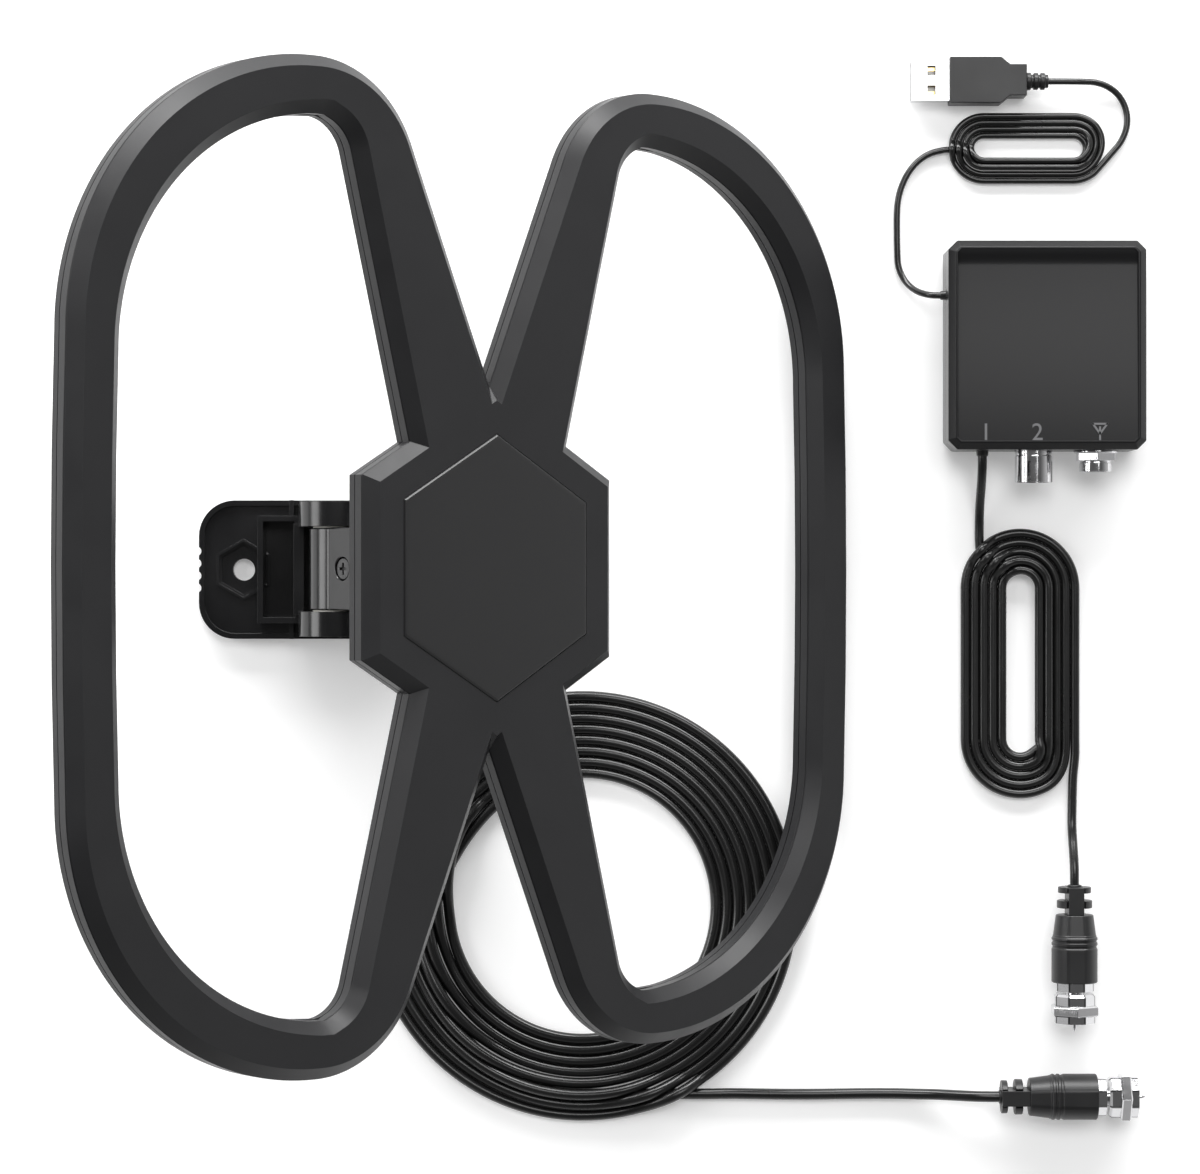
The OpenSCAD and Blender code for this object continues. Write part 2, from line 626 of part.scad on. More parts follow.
module box_components() {
    base = box_board_z + box_board_t;
    color([0.3, 0.3, 0.35]) in_box() translate([0, 0, base]) {
        for (x = [-19, -13]) translate([x, -14.5, 0]) cylinder(r = 2.5, h = 7);
        for (x = [-4, 3, 10]) translate([x - 1.6, -13.5, 0]) cube([3.2, 2, 1.4]);
        for (x = [-6, 2, 10]) translate([x - 2, -4, 0]) cube([4, 3.4, 1.6]);
        translate([-20, 5, 0]) cube([5, 5, 3]);
    }
}
module box_screws() {
    color([0.55, 0.55, 0.57]) in_box() at_places(box_boss_places) {
        translate([0, 0, box_foot + 0.2]) cylinder(r = 2.1, h = 1.2);
        translate([0, 0, box_foot + 1.4 - skin]) cylinder(r = 1.2, h = box_h - 9);
    }
}
module box_feet() {
    color([0.1, 0.1, 0.1]) in_box() for (x = [-1, 1], y = [-1, 1])
        translate([x * (box_w / 2 - 14), y * (box_l / 2 - 7), 0]) cylinder(r = 3.4, h = box_foot);
}
aerial_port_len = 6.2;
port_nut_t = 3;
tv_sleeve_len = 9.3;
groove_w = 0.7;     // groove that ends the stretch of wall that a mate slides on
module aerial_port_body() {
    color([0.78, 0.78, 0.8]) from_port_side(aerial_port_x) difference() {
        union() {
            translate([0, 0, -box_wall - port_flange_t]) cylinder(r = aerial_port_r + port_flange_w, h = port_flange_t);
            translate([0, 0, -box_wall - skin]) cylinder(r = aerial_port_r, h = box_wall + aerial_port_len);
        }
        translate([0, 0, -box_wall - 2]) cylinder(r = aerial_port_r - 1, h = 12);
        translate([0, 0, port_nut_t]) groove(aerial_port_r);
    }
}
module aerial_port_nut() {
    color([0.8, 0.8, 0.82]) from_port_side(aerial_port_x) difference() {
        union() {
            cylinder(r = aerial_port_r + 1.6, h = 0.8);
            linear_extrude(port_nut_t) hexagon(aerial_port_r + 1.4);
        }
        translate([0, 0, -1]) cylinder(r = aerial_port_r + running, h = 6);
    }
}
module aerial_port_insulator() {
    color([0.92, 0.92, 0.9]) from_port_side(aerial_port_x) difference() {
        translate([0, 0, -box_wall - port_flange_t])
            cylinder(r = aerial_port_r - 1 - running, h = box_wall + port_flange_t + 5.4);
        translate([0, 0, 1]) cylinder(r = 0.75, h = 10);
    }
}
module aerial_port_contact() {
    color([0.85, 0.7, 0.35]) from_port_side(aerial_port_x) translate([0, 0, 1]) difference() {
        cylinder(r = 0.72, h = 3.8);
        translate([0, 0, 0.6]) cylinder(r = 0.5, h = 4);
    }
}
module groove(r) {
    difference() {
        cylinder(r = r + 1, h = groove_w);
        translate([0, 0, -1]) cylinder(r = r - 0.2, h = groove_w + 2);
    }
}
module tv_port_sleeve() {
    color([0.8, 0.8, 0.82]) from_port_side(tv_port_x) difference() {
        union() {
            translate([0, 0, -box_wall - port_flange_t]) cylinder(r = tv_port_r + port_flange_w, h = port_flange_t);
            translate([0, 0, -box_wall - skin]) cylinder(r = tv_port_r, h = box_wall + tv_sleeve_len);
        }
        translate([0, 0, 1]) groove(tv_port_r);
        translate([0, 0, -box_wall - 2]) cylinder(r = tv_port_r - 1, h = 2 * tv_sleeve_len);
        for (a = [0, 90]) rotate(a + 20) translate([0, 0, tv_sleeve_len - 1.6])
            cube([3 * tv_port_r, 0.8, 9], center = true);
    }
}
module tv_port_insulator() {
    color([0.92, 0.92, 0.9]) from_port_side(tv_port_x) difference() {
        translate([0, 0, -box_wall - port_flange_t])
            cylinder(r = tv_port_r - 1 - running, h = box_wall + port_flange_t + 1.6);
        translate([0, 0, -box_wall - 2]) cylinder(r = 1.2 + running, h = 20);
    }
}
module tv_port_contact() {
    color([0.85, 0.7, 0.35]) from_port_side(tv_port_x) translate([0, 0, -box_wall - 1.2]) cylinder(r = 1.2, h = box_wall + 9);
}
module grommet(hole_r, lead_d, reach) {
    color([0.1, 0.1, 0.1]) difference() {
        union() {
            translate([0, 0, -box_wall - grommet_flange_w]) cylinder(r = hole_r + grommet_flange_w, h = grommet_flange_w);
            translate([0, 0, -box_wall - skin]) cylinder(r = hole_r - running, h = box_wall + 2 * skin);
            cylinder(r1 = hole_r, r2 = lead_d / 2 + 0.7, h = reach);
        }
        translate([0, 0, -box_wall - 2]) cylinder(r = lead_d / 2 + running, h = reach + box_wall + 4);
    }
}
short_grommet_len = 3;
usb_grommet_len = 2.4;
module short_lead_grommet() { from_port_side(short_exit_x) grommet(short_hole_r, short_d, short_grommet_len); }
module usb_lead_grommet() { from_left_side() grommet(usb_hole_r, usb_d, usb_grommet_len); }

// ---- short lead ----
short_hank_at = [198.2, -27.6];
short_hank_half_w = 17.5;
short_hank_half_l = 39.7;
short_upper_route = [[186.2, 31.7, 10], [186.2, 28.5, 9.3], [186.2, 25, 7.4], [186.2, 21.5, 4.8],
    [186.2, 18, 2.7], [186.2, 14.5, 1.6], [186.2, 11.5, 1.35], [186.2, 8.6, 1.35]];
short_lower_route = [[213.8, -60.4, 1.35], [213.6, -65, 1.35], [213.5, -70, 1.4], [213.4, -75, 1.8],
    [213.4, -79, 3.4], [213.4, -82.6, 5.4], [213.4, -86.2, 7], [213.4, -89.6, 7.6], [213.4, -92.8, 7.6]];
short_plug_at = [213.4, -92.8, 7.6];
module short_lead_upper() {
    color([0.09, 0.09, 0.09]) tube(short_upper_route, short_d / 2);
}
module hank(at, half_w, half_l, turns, d) {
    inner = half_w - turns * d;
    translate([at.x, at.y, 0]) linear_extrude(d) difference() {
        stadium(half_l - half_w, half_w);
        stadium(half_l - half_w, inner);
    }
}
module short_lead_hank() {
    color([0.09, 0.09, 0.09]) translate([short_hank_at.x, short_hank_at.y, 0]) rotate(90)
        hank([0, 0], short_hank_half_w, short_hank_half_l, short_turns, short_d);
}
module short_lead_lower() {
    color([0.09, 0.09, 0.09]) tube(short_lower_route, short_d / 2);
}
module at_short_plug() { translate(short_plug_at) rotate([90, 0, 0]) children(); }
module short_plug_boot() { at_short_plug() plug_boot(short_d); }
module short_plug_ferrule() { at_short_plug() plug_ferrule(); }
module short_plug_nut() { at_short_plug() plug_nut(); }
module short_plug_insulator() { at_short_plug() plug_insulator(); }
module short_plug_pin() { at_short_plug() plug_pin(); }

// ---- USB lead ----
usb_hank_at = [200.7, 124];
usb_hank_half_w = 10.45;
usb_hank_half_l = 23.6;
usb_box_route = [[173.1, 80, 10], [171.5, 80.1, 9.5], [169.8, 80.5, 8.1], [167.8, 81.4, 6], [165.9, 82.9, 3.8],
    [164.3, 84.9, 2.1], [163.1, 87.3, 1.2], [162.3, 90, 0.95], [162.1, 94, 0.95], [162, 99, 0.95],
    [162, 104, 0.95], [162.3, 108.5, 0.95], [163.4, 112.8, 0.95], [165.4, 116.9, 0.95], [168.2, 120.2, 0.95],
    [171.6, 122.4, 0.95], [175.2, 123.4, 0.95], [177, 123.6, 0.95]];
usb_plug_route = [[225.2, 122.6, 0.95], [227.8, 125.8, 0.95], [229.4, 129.4, 0.95], [229.8, 133, 0.95],
    [229, 136.6, 1], [227, 139.8, 1.3], [224, 142, 1.9], [220.6, 143.1, 2.7], [216.8, 143.3, 3.4],
    [213, 143.3, 3.8], [209.5, 143.3, 4], [206.1, 143.3, 4]];
usb_plug_y = 143.3;
usb_axis_z = 4;
usb_shell_w = 12;
usb_shell_h = 4.5;
usb_shell_x = 165.8;
usb_mould_x = 177;
module usb_lead_box_end() {
    color([0.09, 0.09, 0.09]) tube(usb_box_route, usb_d / 2);
}
module usb_lead_hank() {
    color([0.09, 0.09, 0.09]) hank(usb_hank_at, usb_hank_half_w, usb_hank_half_l, usb_turns, usb_d);
}
module usb_lead_plug_end() {
    color([0.09, 0.09, 0.09]) tube(usb_plug_route, usb_d / 2);
}
module usb_strain_relief() {
    color([0.1, 0.1, 0.1]) translate([199.6, usb_plug_y, usb_axis_z]) rotate([0, 90, 0]) difference() {
        union() {
            cylinder(r = 2.6, h = 1.4);
            for (x = [2.2, 4.2]) translate([0, 0, x]) cylinder(r = 2.5, h = 1.3);
            cylinder(r = 2, h = 6.5);
        }
        translate([0, 0, -1]) cylinder(r = usb_d / 2 + running, h = 8);
    }
}
module usb_overmould() {
    half_w = 6.75;
    neck_half_w = 4.6;
    color([0.14, 0.14, 0.15]) difference() {
        translate([0, usb_plug_y, 0]) linear_extrude(2 * usb_axis_z) polygon([[usb_mould_x, -half_w],
            [192, -half_w], [194.6, -neck_half_w], [199.5, -neck_half_w], [199.5, neck_half_w],
            [194.6, neck_half_w], [192, half_w], [usb_mould_x, half_w]]);
        translate([usb_mould_x - 1, usb_plug_y - usb_shell_w / 2 - running, usb_axis_z - usb_shell_h / 2 - running])
            cube([8.2, usb_shell_w + 2 * running, usb_shell_h + 2 * running]);
        translate([190, usb_plug_y, usb_axis_z]) rotate([0, 90, 0]) cylinder(r = usb_d / 2 + running, h = 12);
    }
}
module usb_shell() {
    metal = 0.3;
    color([0.75, 0.75, 0.77]) difference() {
        translate([usb_shell_x, usb_plug_y - usb_shell_w / 2, usb_axis_z - usb_shell_h / 2])
            cube([18.2, usb_shell_w, usb_shell_h]);
        translate([usb_shell_x - 1, usb_plug_y - usb_shell_w / 2 + metal, usb_axis_z - usb_shell_h / 2 + metal])
            cube([18.8, usb_shell_w - 2 * metal, usb_shell_h - 2 * metal]);
        for (y = [-1, 1]) translate([usb_shell_x + 4.7, usb_plug_y + y * 2.9 - 1.4, 0]) cube([2.4, 2.8, 9]);
    }
}
module usb_tongue() {
    color([0.9, 0.9, 0.9]) translate([usb_shell_x + 0.6, usb_plug_y - 5.5, usb_axis_z - usb_shell_h / 2 + 0.35])
        cube([16.8, 11, 1.8]);
}
module usb_contacts() {
    color([0.85, 0.7, 0.35]) for (y = [-3.5, -1, 1, 3.5])
        translate([usb_shell_x + 1.6, usb_plug_y + y - 0.5, usb_axis_z - usb_shell_h / 2 + 2.15]) cube([14, 1, 0.25]);
}

front_shell();
rear_shell();
hub_cap();
radiator_left();
radiator_right();
matching_board();
matching_transformer();
coax_clamp();
core_wire();
board_screws();
shell_screws();
lead_gland();
arm_socket();
arm_knuckle();
arm_lock_screw();
socket_screws();
base_plate();
hinge_bolt();
hinge_nut();
friction_washers();
lead_drop();
lead_coil();
lead_tail();
main_plug_boot();
main_plug_ferrule();
main_plug_nut();
main_plug_insulator();
main_plug_pin();
box_lower_shell();
box_upper_shell();
box_board();
box_shield();
box_components();
box_screws();
box_feet();
aerial_port_body();
aerial_port_nut();
aerial_port_insulator();
aerial_port_contact();
tv_port_sleeve();
tv_port_insulator();
tv_port_contact();
short_lead_grommet();
usb_lead_grommet();
short_lead_upper();
short_lead_hank();
short_lead_lower();
short_plug_boot();
short_plug_ferrule();
short_plug_nut();
short_plug_insulator();
short_plug_pin();
usb_lead_box_end();
usb_lead_hank();
usb_lead_plug_end();
usb_strain_relief();
usb_overmould();
usb_shell();
usb_tongue();
usb_contacts();
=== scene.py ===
# Television antenna: butterfly head on a tilting bracket with its coiled lead,
# and an amplifier box with an F plug lead and a USB power lead
import json
import math

import bmesh
import bpy
from mathutils import Matrix, Vector


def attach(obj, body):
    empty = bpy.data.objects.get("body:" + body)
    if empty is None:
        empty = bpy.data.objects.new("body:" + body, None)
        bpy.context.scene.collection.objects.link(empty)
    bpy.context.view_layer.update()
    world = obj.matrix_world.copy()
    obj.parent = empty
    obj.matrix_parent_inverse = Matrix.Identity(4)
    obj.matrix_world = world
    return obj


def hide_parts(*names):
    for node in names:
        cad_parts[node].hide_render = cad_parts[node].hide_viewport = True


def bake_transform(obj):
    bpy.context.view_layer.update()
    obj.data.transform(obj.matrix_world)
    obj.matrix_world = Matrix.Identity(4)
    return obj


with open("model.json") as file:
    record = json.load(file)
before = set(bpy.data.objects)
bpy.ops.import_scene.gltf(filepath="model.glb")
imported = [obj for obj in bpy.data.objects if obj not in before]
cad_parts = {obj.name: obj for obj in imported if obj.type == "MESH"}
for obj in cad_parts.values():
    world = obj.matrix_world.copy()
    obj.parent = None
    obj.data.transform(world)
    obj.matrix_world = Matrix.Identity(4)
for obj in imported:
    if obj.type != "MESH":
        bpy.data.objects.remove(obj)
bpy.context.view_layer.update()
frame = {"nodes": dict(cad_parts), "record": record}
nodes = frame["nodes"]
slotOf = {part["node"]: part["material_slot"] for part in frame["record"]["subparts"]}
scene = bpy.context.scene
mm = 0.001
print("frame loaded,", len(nodes), "nodes")


# camera, straight above the layout
cameraLook = {"place": (0.0746, -0.0051, 1.0607), "lens": 108, "sensor": 36}
cameraData = bpy.data.cameras.new("camera")
cameraData.lens = cameraLook["lens"]
cameraData.sensor_width = cameraLook["sensor"]
cameraData.clip_start = 0.01
camera = bpy.data.objects.new("camera", cameraData)
camera.location = cameraLook["place"]
scene.collection.objects.link(camera)
scene.camera = camera
print("camera placed")


# finishes: black moulded plastics, plated and bare metals, small inner parts
noiseScales = {"cloud": 30, "smear": 70, "tarnish": 220, "polish": 400, "metalGrain": 2200}


def startFinish(name, shaderSettings):
    finish = bpy.data.materials.new(name)
    finish.use_nodes = True
    tree = finish.node_tree
    tree.nodes.clear()
    shader = tree.nodes.new("ShaderNodeBsdfPrincipled")
    output = tree.nodes.new("ShaderNodeOutputMaterial")
    tree.links.new(shader.outputs["BSDF"], output.inputs["Surface"])
    for socket, value in shaderSettings.items():
        shader.inputs[socket].default_value = value
    return finish, tree, shader


def surfaceNoise(tree, scale, detail, stretch=(1, 1, 1)):
    place = tree.nodes.new("ShaderNodeTexCoord")
    mapping = tree.nodes.new("ShaderNodeMapping")
    mapping.inputs["Scale"].default_value = stretch
    noise = tree.nodes.new("ShaderNodeTexNoise")
    noise.inputs["Scale"].default_value = scale
    noise.inputs["Detail"].default_value = detail
    tree.links.new(place.outputs["Object"], mapping.inputs["Vector"])
    tree.links.new(mapping.outputs["Vector"], noise.inputs["Vector"])
    return noise.outputs["Fac"]


def shadeColour(tree, shader, fac, dark, light):
    ramp = tree.nodes.new("ShaderNodeValToRGB")
    ramp.color_ramp.elements[0].position = 0.3
    ramp.color_ramp.elements[1].position = 0.7
    ramp.color_ramp.elements[0].color = (*dark, 1)
    ramp.color_ramp.elements[1].color = (*light, 1)
    tree.links.new(fac, ramp.inputs["Fac"])
    tree.links.new(ramp.outputs["Color"], shader.inputs["Base Color"])


def varyRoughness(tree, shader, fac, low, high):
    spread = tree.nodes.new("ShaderNodeMapRange")
    spread.inputs["From Min"].default_value = 0.3
    spread.inputs["From Max"].default_value = 0.7
    spread.inputs["To Min"].default_value = low
    spread.inputs["To Max"].default_value = high
    tree.links.new(fac, spread.inputs["Value"])
    tree.links.new(spread.outputs["Result"], shader.inputs["Roughness"])


def addGrain(tree, shader, fac, strength, depth):
    bump = tree.nodes.new("ShaderNodeBump")
    bump.inputs["Strength"].default_value = strength
    bump.inputs["Distance"].default_value = depth
    tree.links.new(fac, bump.inputs["Height"])
    tree.links.new(bump.outputs["Normal"], shader.inputs["Normal"])


def mouldedPlastic(name, look):
    finish, tree, shader = startFinish(name, {"Specular IOR Level": look.get("gloss", 0.5)})
    dark = [c * (1 - look["mottle"]) for c in look["colour"]]
    light = [c * (1 + look["mottle"]) for c in look["colour"]]
    shadeColour(tree, shader, surfaceNoise(tree, noiseScales["cloud"], 2), dark, light)
    low, high = look["roughness"]
    varyRoughness(tree, shader, surfaceNoise(tree, noiseScales["smear"], 2), low, high)
    addGrain(tree, shader, surfaceNoise(tree, look["grain"], 2), look["grainStrength"], look["grainDepth"])
    return finish


def platedMetal(name, look):
    finish, tree, shader = startFinish(name, {"Metallic": 1.0})
    dark = [c * (1 - look["mottle"]) for c in look["colour"]]
    shadeColour(tree, shader, surfaceNoise(tree, noiseScales["tarnish"], 3), dark, look["colour"])
    low, high = look["roughness"]
    varyRoughness(tree, shader, surfaceNoise(tree, noiseScales["polish"], 4, look["brush"]), low, high)
    addGrain(tree, shader, surfaceNoise(tree, noiseScales["metalGrain"], 2, look["brush"]), 0.25, 0.00002)
    return finish


plasticLooks = {
    "shell_plastic": {"colour": (0.013, 0.013, 0.014), "mottle": 0.06, "roughness": (0.36, 0.44),
                      "gloss": 0.3, "grain": 2600, "grainStrength": 0.25, "grainDepth": 0.00003},
    "rear_plastic": {"colour": (0.012, 0.012, 0.013), "mottle": 0.15, "roughness": (0.38, 0.48),
                     "gloss": 0.3, "grain": 2200, "grainStrength": 0.35, "grainDepth": 0.00004},
    "cap_plastic": {"colour": (0.014, 0.014, 0.0145), "mottle": 0.02, "roughness": (0.29, 0.295),
                    "gloss": 0.4, "grain": 3000, "grainStrength": 0.15, "grainDepth": 0.00002},
    "bracket_plastic": {"colour": (0.006, 0.006, 0.0065), "mottle": 0.08, "roughness": (0.16, 0.24),
                        "gloss": 0.5, "grain": 1800, "grainStrength": 0.1, "grainDepth": 0.00003},
    "box_plastic": {"colour": (0.010, 0.010, 0.0105), "mottle": 0.02, "roughness": (0.26, 0.265),
                    "gloss": 0.22, "grain": 2600, "grainStrength": 0.15, "grainDepth": 0.00002},
    "lead_jacket": {"colour": (0.008, 0.008, 0.008), "mottle": 0.2, "roughness": (0.2, 0.3), "gloss": 0.5,
                    "grain": 1400, "grainStrength": 0.2, "grainDepth": 0.00004},
    "plug_grip": {"colour": (0.010, 0.010, 0.0105), "mottle": 0.15, "roughness": (0.34, 0.44),
                  "gloss": 0.45, "grain": 2400, "grainStrength": 0.3, "grainDepth": 0.00004},
    "board": {"colour": (0.02, 0.16, 0.07), "mottle": 0.15, "roughness": (0.3, 0.4),
              "grain": 900, "grainStrength": 0.2, "grainDepth": 0.00003},
    "ferrite": {"colour": (0.05, 0.045, 0.04), "mottle": 0.25, "roughness": (0.6, 0.75),
                "grain": 1500, "grainStrength": 0.5, "grainDepth": 0.00006},
    "insulator_plastic": {"colour": (0.78, 0.77, 0.74), "mottle": 0.04, "roughness": (0.35, 0.45),
                          "grain": 1500, "grainStrength": 0.15, "grainDepth": 0.00003},
    "component": {"colour": (0.05, 0.055, 0.08), "mottle": 0.3, "roughness": (0.35, 0.5),
                  "grain": 1200, "grainStrength": 0.2, "grainDepth": 0.00004},
    "foot_rubber": {"colour": (0.018, 0.018, 0.018), "mottle": 0.2, "roughness": (0.7, 0.85),
                    "grain": 1700, "grainStrength": 0.5, "grainDepth": 0.00006},
    "washer_plastic": {"colour": (0.6, 0.59, 0.54), "mottle": 0.05, "roughness": (0.4, 0.5),
                       "grain": 1500, "grainStrength": 0.2, "grainDepth": 0.00003},
    # dark steel that paints shade: used on the lock screw, which sits in shadow, and on the groove faces of
    # the plug facets
    "painted_shade_steel": {"colour": (0.03, 0.03, 0.031), "mottle": 0.2, "roughness": (0.3, 0.4),
                    "grain": 1500, "grainStrength": 0.2, "grainDepth": 0.00003},
    "print": {"colour": (0.12, 0.12, 0.125), "mottle": 0.15, "roughness": (0.5, 0.6),
              "grain": 1500, "grainStrength": 0.2, "grainDepth": 0.00003}}
metalLooks = {
    "plated_metal": {"colour": (0.64, 0.64, 0.65), "mottle": 0.06, "roughness": (0.08, 0.16),
                     "brush": (1, 1, 1)},
    "screw_steel": {"colour": (0.55, 0.55, 0.56), "mottle": 0.15, "roughness": (0.25, 0.38),
                    "brush": (1, 3, 1)},
    "radiator_metal": {"colour": (0.72, 0.71, 0.67), "mottle": 0.1, "roughness": (0.3, 0.42),
                       "brush": (1, 6, 1)},
    "contact_metal": {"colour": (0.83, 0.62, 0.27), "mottle": 0.1, "roughness": (0.15, 0.25),
                      "brush": (1, 1, 1)}}
finishes = {name: mouldedPlastic(name, look) for name, look in plasticLooks.items()}
finishes.update({name: platedMetal(name, look) for name, look in metalLooks.items()})
for nodeName, node in nodes.items():
    node.data.materials.clear()
    node.data.materials.append(finishes["plated_metal" if nodeName.endswith("_pin") else slotOf[nodeName]])
print("finishes made,", len(finishes))


# how every piece is added
def addPiece(name, bm, body, slotName, standsFor=(), sharpAngle=35, finishName=None):
    mesh = bpy.data.meshes.new(name)
    bm.to_mesh(mesh)
    bm.free()
    piece = bpy.data.objects.new(name, mesh)
    scene.collection.objects.link(piece)
    mesh.materials.append(finishes[finishName or slotName])
    mesh.shade_smooth()
    mesh.set_sharp_from_angle(angle=math.radians(sharpAngle))
    evenShade = piece.modifiers.new("evenShade", "WEIGHTED_NORMAL")
    evenShade.keep_sharp = True
    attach(piece, body)
    if standsFor:
        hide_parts(*standsFor)
    return piece


def copyOfNode(nodeName):
    bm = bmesh.new()
    bm.from_mesh(nodes[nodeName].data)
    bmesh.ops.remove_doubles(bm, verts=bm.verts, dist=0.000002)
    bmesh.ops.dissolve_degenerate(bm, dist=0.000001, edges=bm.edges)
    return bm


def sharpEdges(bm, angle):
    return [e for e in bm.edges if len(e.link_faces) == 2 and e.calc_face_angle(0) > math.radians(angle)]


def softenEdges(bm, edges, width):
    bmesh.ops.bevel(bm, geom=edges, offset=width, offset_type="OFFSET", segments=2, profile=0.5,
                    affect="EDGES", clamp_overlap=True, material=-1)


def softenedPiece(name, nodeName, body, width, finishName=None):
    bm = copyOfNode(nodeName)
    bmesh.ops.dissolve_limit(bm, angle_limit=math.radians(0.6), verts=bm.verts, edges=bm.edges)
    softenEdges(bm, sharpEdges(bm, 30), width)
    bmesh.ops.triangulate(bm, faces=[f for f in bm.faces if len(f.verts) > 4])
    return addPiece(name, bm, body, slotOf[nodeName], [nodeName], finishName=finishName)


# leads, in millimetres until their curves are made
def eased(t):
    t = min(max(t, 0.0), 1.0)
    return t * t * (3 - 2 * t)


def smoothLine(points, perSpan=8):
    # Catmull-Rom curve through the points
    line = [Vector(p) for p in points]
    line = [2 * line[0] - line[1]] + line + [2 * line[-1] - line[-2]]
    curve = []
    for before, start, end, after in zip(line, line[1:], line[2:], line[3:]):
        for step in range(perSpan):
            t = step / perSpan
            square = (2 * before - 5 * start + 4 * end - after) * t * t
            cube = (3 * start - before - 3 * end + after) * t ** 3
            curve.append(0.5 * (2 * start + (end - before) * t + square + cube))
    return curve + [line[-2]]


def evenLine(points, spacing):
    # the same line with its points a fixed distance apart
    line, left = [points[0].copy()], spacing
    for start, end in zip(points, points[1:]):
        span, done = (end - start).length, 0.0
        while span - done >= left:
            done += left
            line.append(start.lerp(end, done / span))
            left = spacing
        left -= span - done
    if (line[-1] - points[-1]).length > spacing / 2:
        line.append(points[-1].copy())
    else:
        line[-1] = points[-1].copy()
    return line


def lineLength(points):
    return sum((b - a).length for a, b in zip(points, points[1:]))


def liftOver(points, under, diameter, first, last):
    # points from first to last rise over the line that runs under them
    reach, rise = 1.7 * diameter, 1.094 * diameter
    flat = [p.xy for p in under]
    for index in range(first, last):
        here = points[index].xy
        near = min((here - q).length for q in flat)
        if near < reach:
            points[index].z += rise * math.cos(math.pi / 2 * near / reach) ** 2


def arcPoints(centre, radiusAt, start, end, height, step=4):
    # radiusAt gives the radius at each fraction of the arc
    count = max(2, round(abs(end - start) / step))
    points = []
    for i in range(count):
        angle = math.radians(start + (end - start) * i / count)
        radius = radiusAt(i / count)
        x, y = radius * math.cos(angle), radius * math.sin(angle)
        points.append(Vector((centre[0] + x, centre[1] + y, height)))
    return points


def leadCurve(name, points, diameter):
    curve = bpy.data.curves.new(name, "CURVE")
    curve.dimensions = "3D"
    curve.bevel_depth = diameter / 2
    curve.bevel_resolution = 4
    curve.use_fill_caps = True
    spline = curve.splines.new("POLY")
    spline.points.add(len(points) - 1)
    for point, place in zip(spline.points, points):
        point.co = (*place, 1)
    spline.use_smooth = True
    curve.materials.append(finishes["lead_jacket"])
    lead = bpy.data.objects.new(name, curve)
    scene.collection.objects.link(lead)
    return lead


mainLead = {
    "diameter": 3.2, "centre": (69.5, -98.9), "outer": 61.6, "turns": 8, "start": 138, "ease": 50,
    "exitRadius": 55.3, "exitSwing": 130, "spacing": 1.5,
    "gland": [(39.6, -31, 71.7), (37.6, -31, 69.4)],
    "drop": [(35.7, -31, 67.1), (32.5, -31.1, 63.3), (30.2, -31.7, 58.5), (29, -33, 52), (28.8, -34.8, 44),
             (29, -37, 36), (29.2, -39.5, 28), (29.1, -42.5, 20.5), (28.2, -46.5, 13.8), (26.7, -51, 8.6),
             (24.9, -55.6, 4.9), (21.9, -59.6, 2.5)],
    "tail": [(102.9, -154.2, 1.6), (107, -154.2, 1.6), (113, -154.1, 1.6), (121, -154.2, 1.6),
             (129, -154.3, 1.6), (137, -154.3, 1.6), (145, -154.2, 1.6), (153, -154.1, 1.6),
             (161, -154.1, 1.7), (168, -154.2, 2.1), (174, -154.2, 3.1), (179.5, -154.2, 5.2),
             (184.2, -154.2, 6.9), (188.2, -154.2, 7.6), (191.9, -154.2, 7.6), (195, -154.2, 7.6)]}


def mainLeadLine():
    d, centre, start = mainLead["diameter"], mainLead["centre"], mainLead["start"]
    radii = [mainLead["outer"] - d * k for k in range(mainLead["turns"])]
    keys = [Vector(p) for p in mainLead["gland"] + mainLead["drop"]]
    turns = []
    for k, radius in enumerate(radii):
        before = radii[max(k - 1, 0)]
        ease = mainLead["ease"] / 360
        radiusAt = lambda t, a=before, b=radius: a + (b - a) * eased(t / ease)
        first = start + 8 if k == 0 else start
        turns += arcPoints(centre, radiusAt if k else lambda t, r=radius: r, first, start + 360, d / 2)
    # the inner end goes back out under the ring, then straight on
    exitRadius = mainLead["exitRadius"]
    out = arcPoints(centre, lambda t: radii[-1] + (exitRadius - radii[-1]) * eased(t),
                    start, start + mainLead["exitSwing"], d / 2)
    out += [Vector((x, centre[1] - exitRadius, d / 2)) for x in (69.5, 75, 81, 87, 93, 98)]
    keys += turns + out + [Vector(p) for p in mainLead["tail"]]
    line = evenLine(smoothLine(keys, 6), mainLead["spacing"])
    # the stretch that lies underneath is found again on the even line
    underStart = min(range(len(line) // 2, len(line)), key=lambda i: (line[i] - out[0]).length)
    tailStart = Vector(mainLead["tail"][0])
    underEnd = min(range(underStart, len(line)), key=lambda i: (line[i] - tailStart).length)
    quiet = round(10 / mainLead["spacing"])
    firstLaid = 60  # the drop from the gland is left out
    liftOver(line, line[underStart:underEnd], d, firstLaid, underStart - quiet)
    return line


